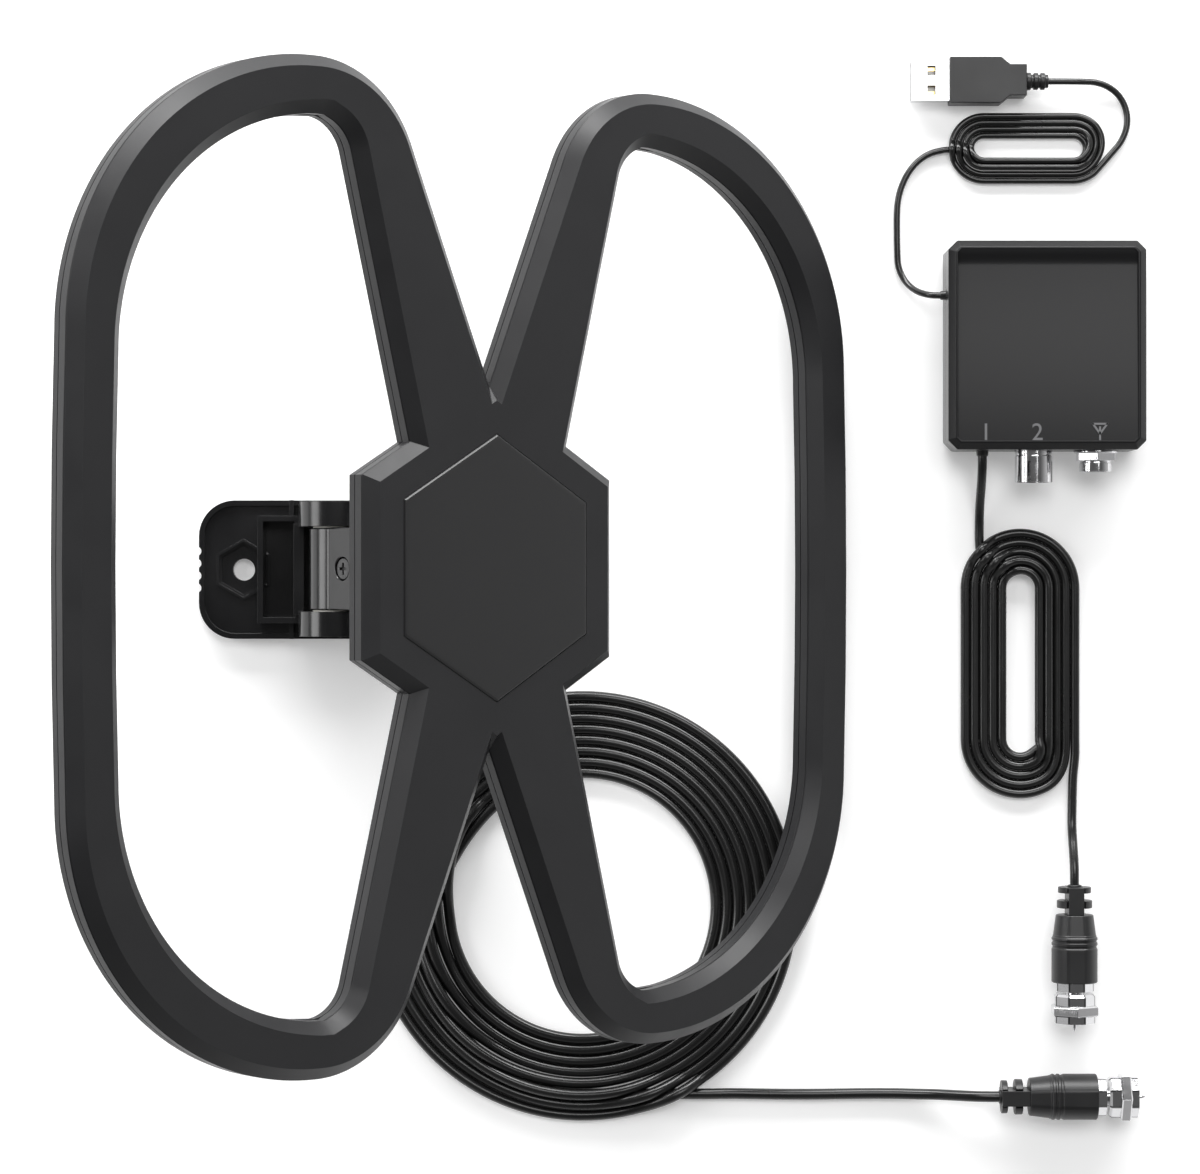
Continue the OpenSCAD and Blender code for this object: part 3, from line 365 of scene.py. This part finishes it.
hanks = {
    "short": {"diameter": 2.7, "half": 22.2, "radii": (5.35, 8.05, 10.75, 13.45, 16.15),
              "toRow": lambda s, t: (198.2 + t, -27.6 - s), "step": (0, 60), "under": 6.7,
              "before": [(186.2, 37.2, 10), (186.2, 34.6, 10), (186.2, 31.7, 10), (186.2, 28.5, 9.3),
                         (186.2, 25, 7.4), (186.2, 21.5, 4.8), (186.2, 18, 2.7), (186.2, 14.5, 1.6),
                         (186.2, 11.5, 1.35)],
              "entry": [(-36.2, -12), (-33, -11.6), (-30.6, -9.6), (-29.4, -6.2), (-28.9, -2)],
              "exitArc": 0,
              "after": [(213.8, -60.4, 1.35), (213.6, -65, 1.35), (213.5, -70, 1.4), (213.4, -75, 1.8),
                        (213.4, -79, 3.4), (213.4, -82.6, 5.4), (213.4, -86.2, 7), (213.4, -89.6, 7.6),
                        (213.4, -92.8, 7.6), (213.4, -96, 7.6)]},
    "usb": {"diameter": 1.9, "half": 13.15, "radii": (3.8, 5.7, 7.6, 9.5),
            "toRow": lambda s, t: (200.7 + s, 124 - t), "step": (50, 145), "under": 4.75,
            "before": [(177, 80, 10), (175, 80, 10), (173.1, 80, 10), (171.5, 80.1, 9.5),
                       (169.8, 80.5, 8.1), (167.8, 81.4, 6), (165.9, 82.9, 3.8), (164.3, 84.9, 2.1),
                       (163.1, 87.3, 1.2), (162.3, 90, 0.95), (162.1, 94, 0.95), (162, 99, 0.95),
                       (162, 104, 0.95), (162.3, 108.5, 0.95), (163.4, 112.8, 0.95), (165.4, 116.9, 0.95),
                       (168.2, 120.2, 0.95), (171.6, 122.4, 0.95), (175.2, 123.4, 0.95)],
            "entry": [(-23.7, 0.4), (-20.5, 0.8), (-17.8, 2.2), (-15.4, 3.8)],
            "exitArc": 50,
            "after": [(225.2, 122.6, 0.95), (227.8, 125.8, 0.95), (229.4, 129.4, 0.95), (229.8, 133, 0.95),
                      (229, 136.6, 1), (227, 139.8, 1.3), (224, 142, 1.9), (220.6, 143.1, 2.7),
                      (216.8, 143.3, 3.4), (213, 143.3, 3.8), (209.5, 143.3, 4), (206.1, 143.3, 4),
                      (203, 143.3, 4)]}}


def hankLine(hank):
    # wound in a flat frame: s along the runs, t across them
    d, half, radii = hank["diameter"], hank["half"], hank["radii"]
    low, high = hank["step"]
    spacing = d * 0.45

    def run(start, end, t, count=8):
        return [(start + (end - start) * i / count, t) for i in range(count)]

    def turn(side, radiusAt, begin, end, count=30):
        points = []
        for i in range(count):
            angle = begin + (end - begin) * i / count
            radius = radiusAt(abs(angle - begin))
            points.append((side * half + radius * math.cos(math.radians(angle)),
                           radius * math.sin(math.radians(angle))))
        return points

    flat = list(hank["entry"])
    if hank["under"] > 5:
        flat += turn(-1, lambda a: hank["under"], 172, 90, 10)
    flat += run(-half, half, hank["under"])
    underCount = len(flat)
    for k, radius in enumerate(radii):
        before = hank["under"] if k == 0 else radii[k - 1]
        steps = (0, 50) if k == 0 else (low, high)
        radiusAt = lambda a, p=before, q=radius, w=steps: p + (q - p) * eased((a - w[0]) / (w[1] - w[0]))
        flat += turn(1, radiusAt, 90, -90)
        if k == 0:
            endOfUnder = flat[underCount + round(30 * (high + 5) / 180)]
        flat += run(half, -half, -radius)
        flat += turn(-1, lambda a, r=radius: r, -90, -270)
        flat += run(-half, half, radius)
    if hank["exitArc"]:
        flat += turn(1, lambda a, r=radii[-1]: r, 90, 90 - hank["exitArc"], 8)
    else:
        flat += [(half, radii[-1]), (half + 5, radii[-1])]
    laid = [Vector((*hank["toRow"](s, t), d / 2)) for s, t in flat]
    before, after = [Vector(p) for p in hank["before"]], [Vector(p) for p in hank["after"]]
    line = evenLine(smoothLine(before + laid + after, 6), spacing)
    entry = Vector((*hank["toRow"](*hank["entry"][0]), d / 2))
    leave = Vector((*hank["toRow"](*endOfUnder), d / 2))
    underStart = min(range(len(line)), key=lambda i: (line[i] - entry).length)
    underLength = lineLength([Vector((*p, 0)) for p in flat[:underCount]]) + math.pi * radii[0]
    reach = underStart + round(1.6 * underLength / spacing)
    underEnd = min(range(underStart, reach), key=lambda i: (line[i] - leave).length)
    quiet = round((2 * half + math.pi * radii[0]) * 0.6 / spacing)
    liftOver(line, line[underStart:underEnd], d, underEnd + quiet, len(line))
    return line


mainLine = mainLeadLine()
mainCurve = leadCurve("mainLeadCurve", [p * mm for p in mainLine], mainLead["diameter"] * mm)
bpy.context.view_layer.update()
mainMesh = bpy.data.meshes.new_from_object(mainCurve)
bpy.data.objects.remove(mainCurve)
mainPiece = bpy.data.objects.new("mainLead", mainMesh)
scene.collection.objects.link(mainPiece)
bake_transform(mainPiece)
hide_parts("lead_drop", "lead_coil", "lead_tail")
print("main lead,", round(lineLength(mainLine)), "mm")

for hankName, replaced in (("short", ("short_lead_upper", "short_lead_hank", "short_lead_lower")),
                           ("usb", ("usb_lead_box_end", "usb_lead_hank", "usb_lead_plug_end"))):
    hank = hanks[hankName]
    laidLine = hankLine(hank)
    hank["length"] = lineLength(laidLine)
    lead = leadCurve(hankName + "Lead", [p * mm for p in laidLine], hank["diameter"] * mm)
    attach(lead, "root")
    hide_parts(*replaced)
    print(hankName, "lead,", round(hank["length"]), "mm")


# antenna head, worked in its own flat frame in millimetres, then leaned back on the bracket
headShape = {"pivotZ": 37, "lean": 40, "armLength": 73, "bevel": 3.3, "frontDepth": 7, "depth": 9.2,
             "wall": 2.4, "capPocket": 1.2, "pocketReach": 38, "groove": 0.35, "lip": 0.3,
             "edge": 0.22, "backEdge": 0.28, "screwHole": 12}
headPlace = (Matrix.Translation((0, 0, headShape["pivotZ"] * mm))
             @ Matrix.Rotation(math.radians(headShape["lean"]), 4, "Y")
             @ Matrix.Translation((0, 0, headShape["armLength"] * mm)))


def edgeLoops(edges):
    # loops of vertices, in order, that the edges make
    edges, loops = dict.fromkeys(edges), []
    while edges:
        edge = edges.popitem()[0]
        loop, here = [edge.verts[0]], edge.verts[1]
        while here is not loop[0]:
            loop.append(here)
            edge = next((e for e in here.link_edges if e in edges), None)
            if edge is None:
                break
            del edges[edge]
            here = edge.other_vert(here)
        loops.append(loop)
    return loops


def roundOutlines(bm, cuts=3):
    # the short straight steps of each curve become a finer curve
    for loop in edgeLoops([e for e in bm.edges if e.is_boundary]):
        count = len(loop)
        turns = []
        for i, v in enumerate(loop):
            before, after = v.co - loop[i - 1].co, loop[(i + 1) % count].co - v.co
            turns.append(math.atan2(before.x * after.y - before.y * after.x, before.xy.dot(after.xy)))
        for i, v in enumerate(loop):
            other = loop[(i + 1) % count]
            first, last = turns[i], turns[(i + 1) % count]
            bend = first if abs(first) > abs(last) else last
            curved = first * last > 0 and min(abs(first), abs(last)) > math.radians(2)
            if not curved or abs(bend) >= math.radians(12):
                continue
            start, chord = v.co.copy(), other.co - v.co
            side = Vector((chord.y, -chord.x, 0)) * (1 if bend > 0 else -1) / chord.length
            halfChord = chord.length / 2
            radius = halfChord / math.sin(abs(bend) / 2)
            edge = bm.edges.get((v, other))
            near = v
            for k in range(1, cuts + 1):
                edge, new = bmesh.utils.edge_split(edge, near, 1 / (cuts + 2 - k))
                edge = bm.edges.get((new, other))
                t = k / (cuts + 1)
                reach = (t - 0.5) * chord.length
                rise = math.sqrt(radius ** 2 - reach ** 2) - math.sqrt(radius ** 2 - halfChord ** 2)
                new.co = start + chord * t + side * rise
                near = new


def flatFaces(nodeName, level):
    # the faces of a node that lie at one level of the head, in millimetres
    bm = copyOfNode(nodeName)
    bm.transform(headPlace.inverted())
    bmesh.ops.scale(bm, vec=(1000, 1000, 1000), verts=bm.verts)
    away = [f for f in bm.faces if any(abs(v.co.z - level) > 0.003 for v in f.verts)]
    bmesh.ops.delete(bm, geom=away, context="FACES")
    bmesh.ops.dissolve_limit(bm, angle_limit=math.radians(0.2), verts=bm.verts, edges=[])
    for v in bm.verts:
        v.co.z = level
    roundOutlines(bm)
    return bm


def stepOut(bm, faces, steps):
    # each step pushes the region out and down, leaving a wall behind it
    for out, down in steps:
        bm.normal_update()
        bmesh.ops.inset_region(bm, faces=faces, use_boundary=True, use_even_offset=True,
                               thickness=-out, depth=-down)


def toRow(bm):
    bmesh.ops.scale(bm, vec=(mm, mm, mm), verts=bm.verts)
    bm.transform(headPlace)


def isPocketRim(edge):
    return edge.is_boundary and all(v.co.length < headShape["pocketReach"] for v in edge.verts)


def makeFrontShell():
    bm = flatFaces("front_shell", 0)
    front = list(bm.faces)
    copied = bmesh.ops.duplicate(bm, geom=bm.verts[:] + bm.edges[:] + bm.faces[:])["geom"]
    body = [g for g in copied if isinstance(g, bmesh.types.BMFace)]
    bodyEdges = [g for g in copied if isinstance(g, bmesh.types.BMEdge)]
    pocketRim = [e for e in bodyEdges if isPocketRim(e)]
    body += bmesh.ops.contextual_create(bm, geom=pocketRim)["faces"]
    s = headShape
    g = s["groove"]
    wallDown = s["frontDepth"] - s["bevel"] - 2 * g - s["lip"]
    stepOut(bm, body, [(s["bevel"], s["bevel"]), (-g, g * 0.5), (0, g), (g, g * 0.5), (0, wallDown),
                       (-s["lip"], s["lip"]), (-s["wall"] + s["lip"], 0),
                       (0, -(s["frontDepth"] - s["wall"]))])
    # pocket for the cap
    rim = [e for f in front for e in f.edges if isPocketRim(e)]
    walls = bmesh.ops.extrude_edge_only(bm, edges=rim)["geom"]
    wallVerts = [w for w in walls if isinstance(w, bmesh.types.BMVert)]
    wallEdges = [w for w in walls if isinstance(w, bmesh.types.BMEdge)]
    bmesh.ops.translate(bm, vec=(0, 0, -s["capPocket"]), verts=wallVerts)
    bmesh.ops.contextual_create(bm, geom=wallEdges)
    bmesh.ops.remove_doubles(bm, verts=bm.verts, dist=0.002)
    bmesh.ops.recalc_face_normals(bm, faces=bm.faces)
    softenEdges(bm, sharpEdges(bm, 20), s["edge"])
    toRow(bm)
    return addPiece("frontShell", bm, "head", "shell_plastic", ["front_shell"], 24)


makeFrontShell()
print("front shell made")


def makeHubCap():
    cap = {"radius": 36, "proud": 0.45, "dome": 0.25}
    bm = bmesh.new()
    bmesh.ops.create_circle(bm, cap_ends=True, segments=6, radius=cap["radius"])
    bmesh.ops.translate(bm, vec=(0, 0, -headShape["capPocket"] + 0.02), verts=bm.verts)
    top = bm.faces[:]
    stepOut(bm, top, [(0, -headShape["capPocket"] + 0.02), (-cap["proud"], -cap["proud"]), (-0.9, -0.08),
                      (-6, -cap["dome"] / 2), (-10, -cap["dome"] / 2)])
    bmesh.ops.recalc_face_normals(bm, faces=bm.faces)
    softenEdges(bm, sharpEdges(bm, 20), 0.15)
    toRow(bm)
    return addPiece("hubCap", bm, "head", "cap_plastic", ["hub_cap"], 24)


makeHubCap()


def makeRearShell():
    bm = flatFaces("rear_shell", -headShape["depth"])
    back = list(bm.faces)
    thickness = headShape["depth"] - headShape["frontDepth"]
    copied = bmesh.ops.duplicate(bm, geom=bm.verts[:] + bm.edges[:] + bm.faces[:])["geom"]
    body = [g for g in copied if isinstance(g, bmesh.types.BMFace)]
    bodyEdges = [g for g in copied if isinstance(g, bmesh.types.BMEdge) and g.is_boundary]

    def holes(edges):
        # the small loops, where the screws sit
        return [loop for loop in edgeLoops(edges)
                if (loop[0].co - loop[len(loop) // 2].co).length < headShape["screwHole"]]

    for loop in holes(bodyEdges):
        body += bmesh.ops.contextual_create(bm, geom=loop)["faces"]
    rims = [{*loop} for loop in holes([e for f in back for e in f.edges if e.is_boundary])]
    stepOut(bm, body, [(0, thickness)])
    for rim in rims:
        rimEdges = [e for e in bm.edges if e.is_boundary and e.verts[0] in rim and e.verts[1] in rim]
        wallVerts = [g for g in bmesh.ops.extrude_edge_only(bm, edges=rimEdges)["geom"]
                     if isinstance(g, bmesh.types.BMVert)]
        bmesh.ops.translate(bm, vec=(0, 0, thickness - 0.05), verts=wallVerts)
        bmesh.ops.contextual_create(bm, geom=wallVerts)
    bmesh.ops.remove_doubles(bm, verts=bm.verts, dist=0.002)
    bmesh.ops.recalc_face_normals(bm, faces=bm.faces)
    softenEdges(bm, sharpEdges(bm, 40), headShape["backEdge"])
    toRow(bm)
    return addPiece("rearShell", bm, "head", "rear_plastic", ["rear_shell"], 24)


makeRearShell()
print("head made")


# bracket pieces, with softened edges
bracketEdges = {"bracketFoot": ("base_plate", "root", 0.3), "bracketSocket": ("arm_socket", "head", 0.4),
                "bracketKnuckle": ("arm_knuckle", "head", 0.4), "leadGland": ("lead_gland", "head", 0.25),
                "lockScrew": ("arm_lock_screw", "head", 0.12), "hingeBolt": ("hinge_bolt", "root", 0.15),
                "hingeNut": ("hinge_nut", "root", 0.15)}
for pieceName, (nodeName, body, width) in bracketEdges.items():
    # painted shade: the lock screw takes the dark steel finish for the shadow it sits in
    paintedShadeFinish = "painted_shade_steel" if pieceName == "lockScrew" else None
    softenedPiece(pieceName, nodeName, body, width * mm, paintedShadeFinish)
print("bracket made")


# F plugs, along their own Z from the lead to the tip
plugShape = {"radius": 6.7, "gripEnd": 27.9, "ferruleEnd": 30.4, "nutStart": 31.2, "hexStart": 34.5,
             "postEnd": 36.2, "hexEnd": 37.7, "nutEnd": 39.7, "flat": 22.5}
plugs = {"main": {"place": (191.9, -154.2, 7.6), "turnAbout": "Y", "up": 180, "nutBody": "main_nut"},
         "short": {"place": (213.4, -92.8, 7.6), "turnAbout": "X", "up": 90, "nutBody": "short_nut"}}


def spinProfile(bm, profile, steps, angle=360, start=0):
    # profile is radius and height; it starts at the given angle round Z
    turn = Matrix.Rotation(math.radians(start), 3, "Z")
    verts = [bm.verts.new(turn @ Vector((radius, 0, height))) for radius, height in profile]
    edges = [bm.edges.new(pair) for pair in zip(verts, verts[1:])]
    closed = angle == 360
    geom = verts + edges
    if not closed:
        edges.append(bm.edges.new((verts[-1], verts[0])))
        geom = verts + edges + [bm.faces.new(verts)]
    bmesh.ops.spin(bm, geom=geom, cent=(0, 0, 0), axis=(0, 0, 1), angle=math.radians(angle), steps=steps,
                   use_merge=closed)


def eightFacets(bm, limit):
    # eight flat facets outside this radius, with a fine groove along each corner between them; the groove
    # faces take the second, dark finish as painted shade
    facet = {"half": 22.5, "grooveFrom": 21, "grooveDepth": 0.94}
    for v in bm.verts:
        if v.co.xy.length <= limit:
            continue
        angle = math.degrees(math.atan2(v.co.y, v.co.x))
        off = abs((angle + facet["half"]) % (2 * facet["half"]) - facet["half"])
        v.co.xy *= math.cos(math.radians(facet["half"])) / math.cos(math.radians(off))
        if off > facet["grooveFrom"]:
            v.co.xy *= facet["grooveDepth"]
            # painted shade: faces in the groove take the dark second finish
            for face in v.link_faces:
                face.material_index = 1


def makePlugGrip(name, place):
    r = plugShape["radius"]
    end = plugShape["gripEnd"]
    core = r * 0.42
    bm = bmesh.new()
    spinProfile(bm, [(0, 8.1), (r * 0.8, 8.1), (r * 0.82, 8.3), (r * 0.93, 13.9), (r * 0.95, 14.1),
                     (r * 0.95, 14.5), (r, 14.75), (r, 15.35), (r * 0.96, 15.6), (r * 0.96, 16.05),
                     (r, 16.3), (r, 16.9), (r * 0.955, 17.2), (r * 0.955, 17.65),
                     (r * 0.985, 17.9), (r, 18.3), (r, end - 0.25), (r - 0.25, end), (r * 0.6, end),
                     (r * 0.6, 21), (0, 21)], 96)
    for v in bm.verts:
        # flat strip along the grip, with a fine groove on each side of it
        radius = v.co.xy.length
        angle = abs(math.degrees(math.atan2(v.co.y, v.co.x)))
        flat = plugShape["flat"]
        for side in (angle, 180 - angle):
            if radius > r * 0.7 and side < flat - 1:
                v.co.x = math.copysign(radius * math.cos(math.radians(flat)), v.co.x)
            elif radius > r * 0.7 and side < flat + 1:
                v.co.xy *= 0.982
    for low, high, radius in ((0, 1.7, r * 0.72), (3.9, 6.1, r * 0.77)):
        for start in (32, 212):
            rib = [(core * 0.8, low), (radius, low), (radius, high), (core * 0.8, high)]
            spinProfile(bm, rib, 24, 116, start)
    bmesh.ops.remove_doubles(bm, verts=bm.verts, dist=0.0005)
    spinProfile(bm, [(0, -0.6), (core * 0.7, -0.6), (core * 0.74, -0.3), (core * 0.74, 8.2), (0, 8.2)], 32)
    bmesh.ops.create_cube(bm, size=1, matrix=Matrix.Translation((0, 0, 4.05))
                          @ Matrix.Diagonal((2 * r * 0.74, 1.6 * core, 8.1, 1)))
    bmesh.ops.recalc_face_normals(bm, faces=bm.faces)
    softenEdges(bm, sharpEdges(bm, 50), 0.18)
    bm.transform(place)
    addPiece(name + "PlugGrip", bm, "root", "plug_grip", [name + "_plug_boot"], 17)


def makePlugFerrule(name, place):
    r, end = plugShape["radius"], plugShape["gripEnd"]
    sleeve, post = plugShape["ferruleEnd"], plugShape["postEnd"]
    bm = bmesh.new()
    spinProfile(bm, [(r * 0.3, end - 7), (r * 0.6, end - 7), (r * 0.6, end), (r * 0.86, end),
                     (r * 0.86, sleeve), (r * 0.4, sleeve), (r * 0.4, post), (r * 0.31, post),
                     (r * 0.31, end - 7)], 128)
    bmesh.ops.remove_doubles(bm, verts=bm.verts, dist=0.0005)
    eightFacets(bm, r * 0.7)
    bmesh.ops.recalc_face_normals(bm, faces=bm.faces)
    bm.transform(place)
    ferrule = addPiece(name + "PlugFerrule", bm, "root", "plated_metal", [name + "_plug_ferrule"], 30)
    # second finish: painted shade on the facet grooves
    ferrule.data.materials.append(finishes["painted_shade_steel"])


def makePlugNut(name, place, body):
    r = plugShape["radius"]
    bm = bmesh.new()
    inner = r * 0.71
    bore = r * 0.4 + 0.05
    start, nutEnd = plugShape["nutStart"], plugShape["nutEnd"]
    spinProfile(bm, [(bore, start), (r * 0.84, start), (r * 0.93, start + 0.7), (r * 0.93, nutEnd),
                     (inner, nutEnd), (inner, start + 2), (bore, start + 2), (bore, start)], 128)
    eightFacets(bm, r * 0.75)
    six, low, high = r * 1.12, plugShape["hexStart"], plugShape["hexEnd"]
    spinProfile(bm, [(inner + 0.4, low), (six * 0.93, low), (six, low + 0.5), (six, high - 0.5),
                     (six * 0.93, high), (inner + 0.4, high), (inner + 0.4, low)], 6)
    bmesh.ops.remove_doubles(bm, verts=bm.verts, dist=0.0005)
    bmesh.ops.recalc_face_normals(bm, faces=bm.faces)
    hexagonEdges = [e for e in sharpEdges(bm, 25) if all(v.co.xy.length > r * 0.97 for v in e.verts)]
    softenEdges(bm, hexagonEdges, 0.14)
    bm.transform(place)
    nut = addPiece(name + "PlugNut", bm, body, "plated_metal", [name + "_plug_nut"], 30)
    # second finish: painted shade on the facet grooves
    nut.data.materials.append(finishes["painted_shade_steel"])


for plugName, plug in plugs.items():
    laid = Matrix.Translation(plug["place"]) @ Matrix.Rotation(math.radians(90), 4, plug["turnAbout"])
    plugPlace = Matrix.Scale(mm, 4) @ laid @ Matrix.Rotation(math.radians(plug["up"]), 4, "Z")
    makePlugGrip(plugName, plugPlace)
    makePlugFerrule(plugName, plugPlace)
    makePlugNut(plugName, plugPlace, plug["nutBody"])
print("plugs made")


# amplifier box
boxShape = {"centre": (204.2, 65), "width": 57.4, "length": 60.6, "top": 20, "split": 10, "corner": 2.6,
            "slope": 2, "rim": 0.7, "rimDepth": 1.4, "scoop": 0.95, "sunk": 0.12}


def boxOutline(bm, height):
    w, l, c = boxShape["width"] / 2, boxShape["length"] / 2, boxShape["corner"]
    corners = [(-w + c, -l), (w - c, -l), (w, -l + c), (w, l - c), (w - c, l), (-w + c, l), (-w, l - c),
               (-w, -l + c)]
    return bm.faces.new([bm.verts.new((x, y, height)) for x, y in corners])


def scoopDepth(y):
    # hollow of the lid: steep at the back, then a long flat rise to the port side
    half = boxShape["length"] / 2 - boxShape["slope"] - boxShape["rim"]
    t = (half - y) / (2 * half)
    return boxShape["scoop"] * min(eased(t / 0.07), 1 - 0.8 * eased((t - 0.1) / 0.9))


def makeBoxLid():
    bm = bmesh.new()
    s = boxShape
    top = boxOutline(bm, s["split"])
    # outer wall, sloped edge, narrow flat rim, then the inside of the rim
    stepOut(bm, [top], [(0, -(s["top"] - s["slope"] - s["split"])), (-s["slope"], -s["slope"]),
                        (-s["rim"], 0), (0, s["rimDepth"])])
    bmesh.ops.delete(bm, geom=[top], context="FACES")
    bmesh.ops.recalc_face_normals(bm, faces=bm.faces)
    softenEdges(bm, sharpEdges(bm, 25), 0.25)
    inset = s["slope"] + s["rim"] - 0.1
    halfW, halfL = s["width"] / 2 - inset, s["length"] / 2 - inset
    face = bmesh.ops.create_grid(bm, x_segments=1, y_segments=60, size=1,
                                 matrix=Matrix.Diagonal((halfW, halfL, 1, 1)))["verts"]
    for v in face:
        v.co.z = s["top"] - s["sunk"] - scoopDepth(v.co.y)
    bmesh.ops.scale(bm, vec=(mm, mm, mm), verts=bm.verts)
    bmesh.ops.translate(bm, vec=(s["centre"][0] * mm, s["centre"][1] * mm, 0), verts=bm.verts)
    return addPiece("boxLid", bm, "root", "box_plastic", ["box_upper_shell"], 24)


def makePortMarks():
    # numbers for the two television outlets, and an aerial sign made of thin bars for the inlet
    marks = {"height": 5.2, "y": 39.5, "thickness": 0.25, "stroke": 0.55,
             "numbersX": {"1": 186.2, "2": 201.1}, "aerialX": 219.2}
    z = boxShape["top"] - boxShape["sunk"] - scoopDepth(marks["y"] - boxShape["centre"][1])
    bm = bmesh.new()
    for sign, x in marks["numbersX"].items():
        font = bpy.data.curves.new("mark", "FONT")
        font.body = sign
        font.size = marks["height"] * 1.35
        font.align_x = "CENTER"
        font.align_y = "CENTER"
        font.extrude = marks["thickness"] / 2
        holder = bpy.data.objects.new("mark", font)
        scene.collection.objects.link(holder)
        bpy.context.view_layer.update()
        outline = bpy.data.meshes.new_from_object(holder)
        bpy.data.objects.remove(holder)
        outline.transform(Matrix.Translation((x, marks["y"], z)))
        bm.from_mesh(outline)
    half = marks["height"] / 2
    for begin, end in (((0, -half), (0, half * 0.6)), ((0, -half * 0.1), (-half * 0.8, half)),
                       ((0, -half * 0.1), (half * 0.8, half)), ((-half * 0.8, half), (half * 0.8, half))):
        begin, end = Vector((*begin, 0)), Vector((*end, 0))
        along = end - begin
        middle = (begin + end) / 2
        place = (Matrix.Translation((marks["aerialX"] + middle.x, marks["y"] + middle.y, z))
                 @ Matrix.Rotation(math.atan2(along.y, along.x), 4, "Z")
                 @ Matrix.Diagonal((along.length + marks["stroke"], marks["stroke"], marks["thickness"], 1)))
        bmesh.ops.create_cube(bm, size=1, matrix=place)
    bmesh.ops.scale(bm, vec=(mm, mm, mm), verts=bm.verts)
    addPiece("portMarks", bm, "root", "box_plastic", finishName="print")


makeBoxLid()
makePortMarks()
softenedPiece("boxBase", "box_lower_shell", "root", 0.3 * mm)
portEdges = {"aerialPort": ("aerial_port_body", 0.15), "aerialPortNut": ("aerial_port_nut", 0.2),
             "tvPort": ("tv_port_sleeve", 0.12), "tvPortPin": ("tv_port_contact", 0.2),
             "usbPlugBody": ("usb_overmould", 0.45), "usbPlugShell": ("usb_shell", 0.1),
             "usbRelief": ("usb_strain_relief", 0.2)}
for pieceName, (nodeName, width) in portEdges.items():
    softenedPiece(pieceName, nodeName, "root", width * mm)


grommets = {"shortGrommet": {"node": "short_lead_grommet", "place": (186.2, 34.7, 10), "turnAbout": "X",
                             "turn": 90, "hole": 3, "lead": 2.7},
            "usbGrommet": {"node": "usb_lead_grommet", "place": (175.5, 80, 10), "turnAbout": "Y",
                           "turn": -90, "hole": 2.4, "lead": 1.9}}


def makeGrommet(name, grommet):
    hole = grommet["hole"] - 0.05
    bore, lip = grommet["lead"] / 2 + 0.03, grommet["lead"] / 2 + 0.45
    bm = bmesh.new()
    spinProfile(bm, [(bore, -2), (hole, -2), (hole, -0.1), (hole - 0.15, 0.05), (lip + 0.1, 0.1), (lip, 0.3),
                     (lip - 0.1, 1.4), (lip - 0.25, 1.6), (bore, 1.6), (bore, -2)], 40)
    bmesh.ops.remove_doubles(bm, verts=bm.verts, dist=0.0005)
    bmesh.ops.recalc_face_normals(bm, faces=bm.faces)
    turned = Matrix.Rotation(math.radians(grommet["turn"]), 4, grommet["turnAbout"])
    bm.transform(Matrix.Scale(mm, 4) @ Matrix.Translation(grommet["place"]) @ turned)
    addPiece(name, bm, "root", "lead_jacket", [grommet["node"]])


for grommetName, grommet in grommets.items():
    makeGrommet(grommetName, grommet)
print("box made")


print("leads made")


# floor and lights
def addFloor():
    bm = bmesh.new()
    bmesh.ops.create_grid(bm, x_segments=8, y_segments=8, size=3)
    bmesh.ops.translate(bm, vec=(0, 0, -0.0003), verts=bm.verts)
    mesh = bpy.data.meshes.new("floor")
    bm.to_mesh(mesh)
    bm.free()
    floor = bpy.data.objects.new("floor", mesh)
    scene.collection.objects.link(floor)
    finish, tree, shader = startFinish("floorPaper", {"Roughness": 0.9, "Specular IOR Level": 0.0,
                                                      "Emission Color": (1, 1, 1, 1),
                                                      "Emission Strength": 0.22})
    shadeColour(tree, shader, surfaceNoise(tree, 2, 2), (0.88, 0.88, 0.88), (0.9, 0.9, 0.9))
    mesh.materials.append(finish)


def addLight(name, place, target, size, power):
    data = bpy.data.lights.new(name, "AREA")
    data.shape = "RECTANGLE"
    data.size, data.size_y = size
    data.energy = power
    light = bpy.data.objects.new(name, data)
    light.location = place
    light.rotation_euler = (Vector(target) - Vector(place)).to_track_quat("-Z", "Y").to_euler()
    scene.collection.objects.link(light)


addFloor()
lights = {
    "back": {"place": (0.1, 1.3, 0.5), "target": (0.1, 0, 0), "size": (2.4, 0.5), "power": 52},
    "left": {"place": (-1.4, 0.3, 0.8), "target": (0.1, 0, 0), "size": (1.0, 0.8), "power": 14},
    "above": {"place": (0.3, 0.62, 1.75), "target": (0.1, 0, 0), "size": (1.3, 0.7), "power": 14}}
for lightName, light in lights.items():
    addLight(lightName, light["place"], light["target"], light["size"], light["power"])
studioSky = {"strength": 0.8, "low": 0.75, "lowAt": 0.25, "high": 0.16, "highAt": 0.8}


def makeSky():
    # pale near the floor and dark overhead, for the metals to show
    world = bpy.data.worlds.new("studio")
    world.use_nodes = True
    tree = world.node_tree
    place = tree.nodes.new("ShaderNodeTexCoord")
    parts = tree.nodes.new("ShaderNodeSeparateXYZ")
    band = tree.nodes.new("ShaderNodeValToRGB")
    tree.links.new(place.outputs["Generated"], parts.inputs[0])
    tree.links.new(parts.outputs["Z"], band.inputs[0])
    tree.links.new(band.outputs["Color"], tree.nodes["Background"].inputs["Color"])
    for element, end in zip(band.color_ramp.elements, ("low", "high")):
        element.position = studioSky[end + "At"]
        element.color = (studioSky[end], studioSky[end], studioSky[end], 1)
    tree.nodes["Background"].inputs["Strength"].default_value = studioSky["strength"]
    scene.world = world


makeSky()
scene.view_settings.view_transform = "Standard"
print("floor and lights placed")
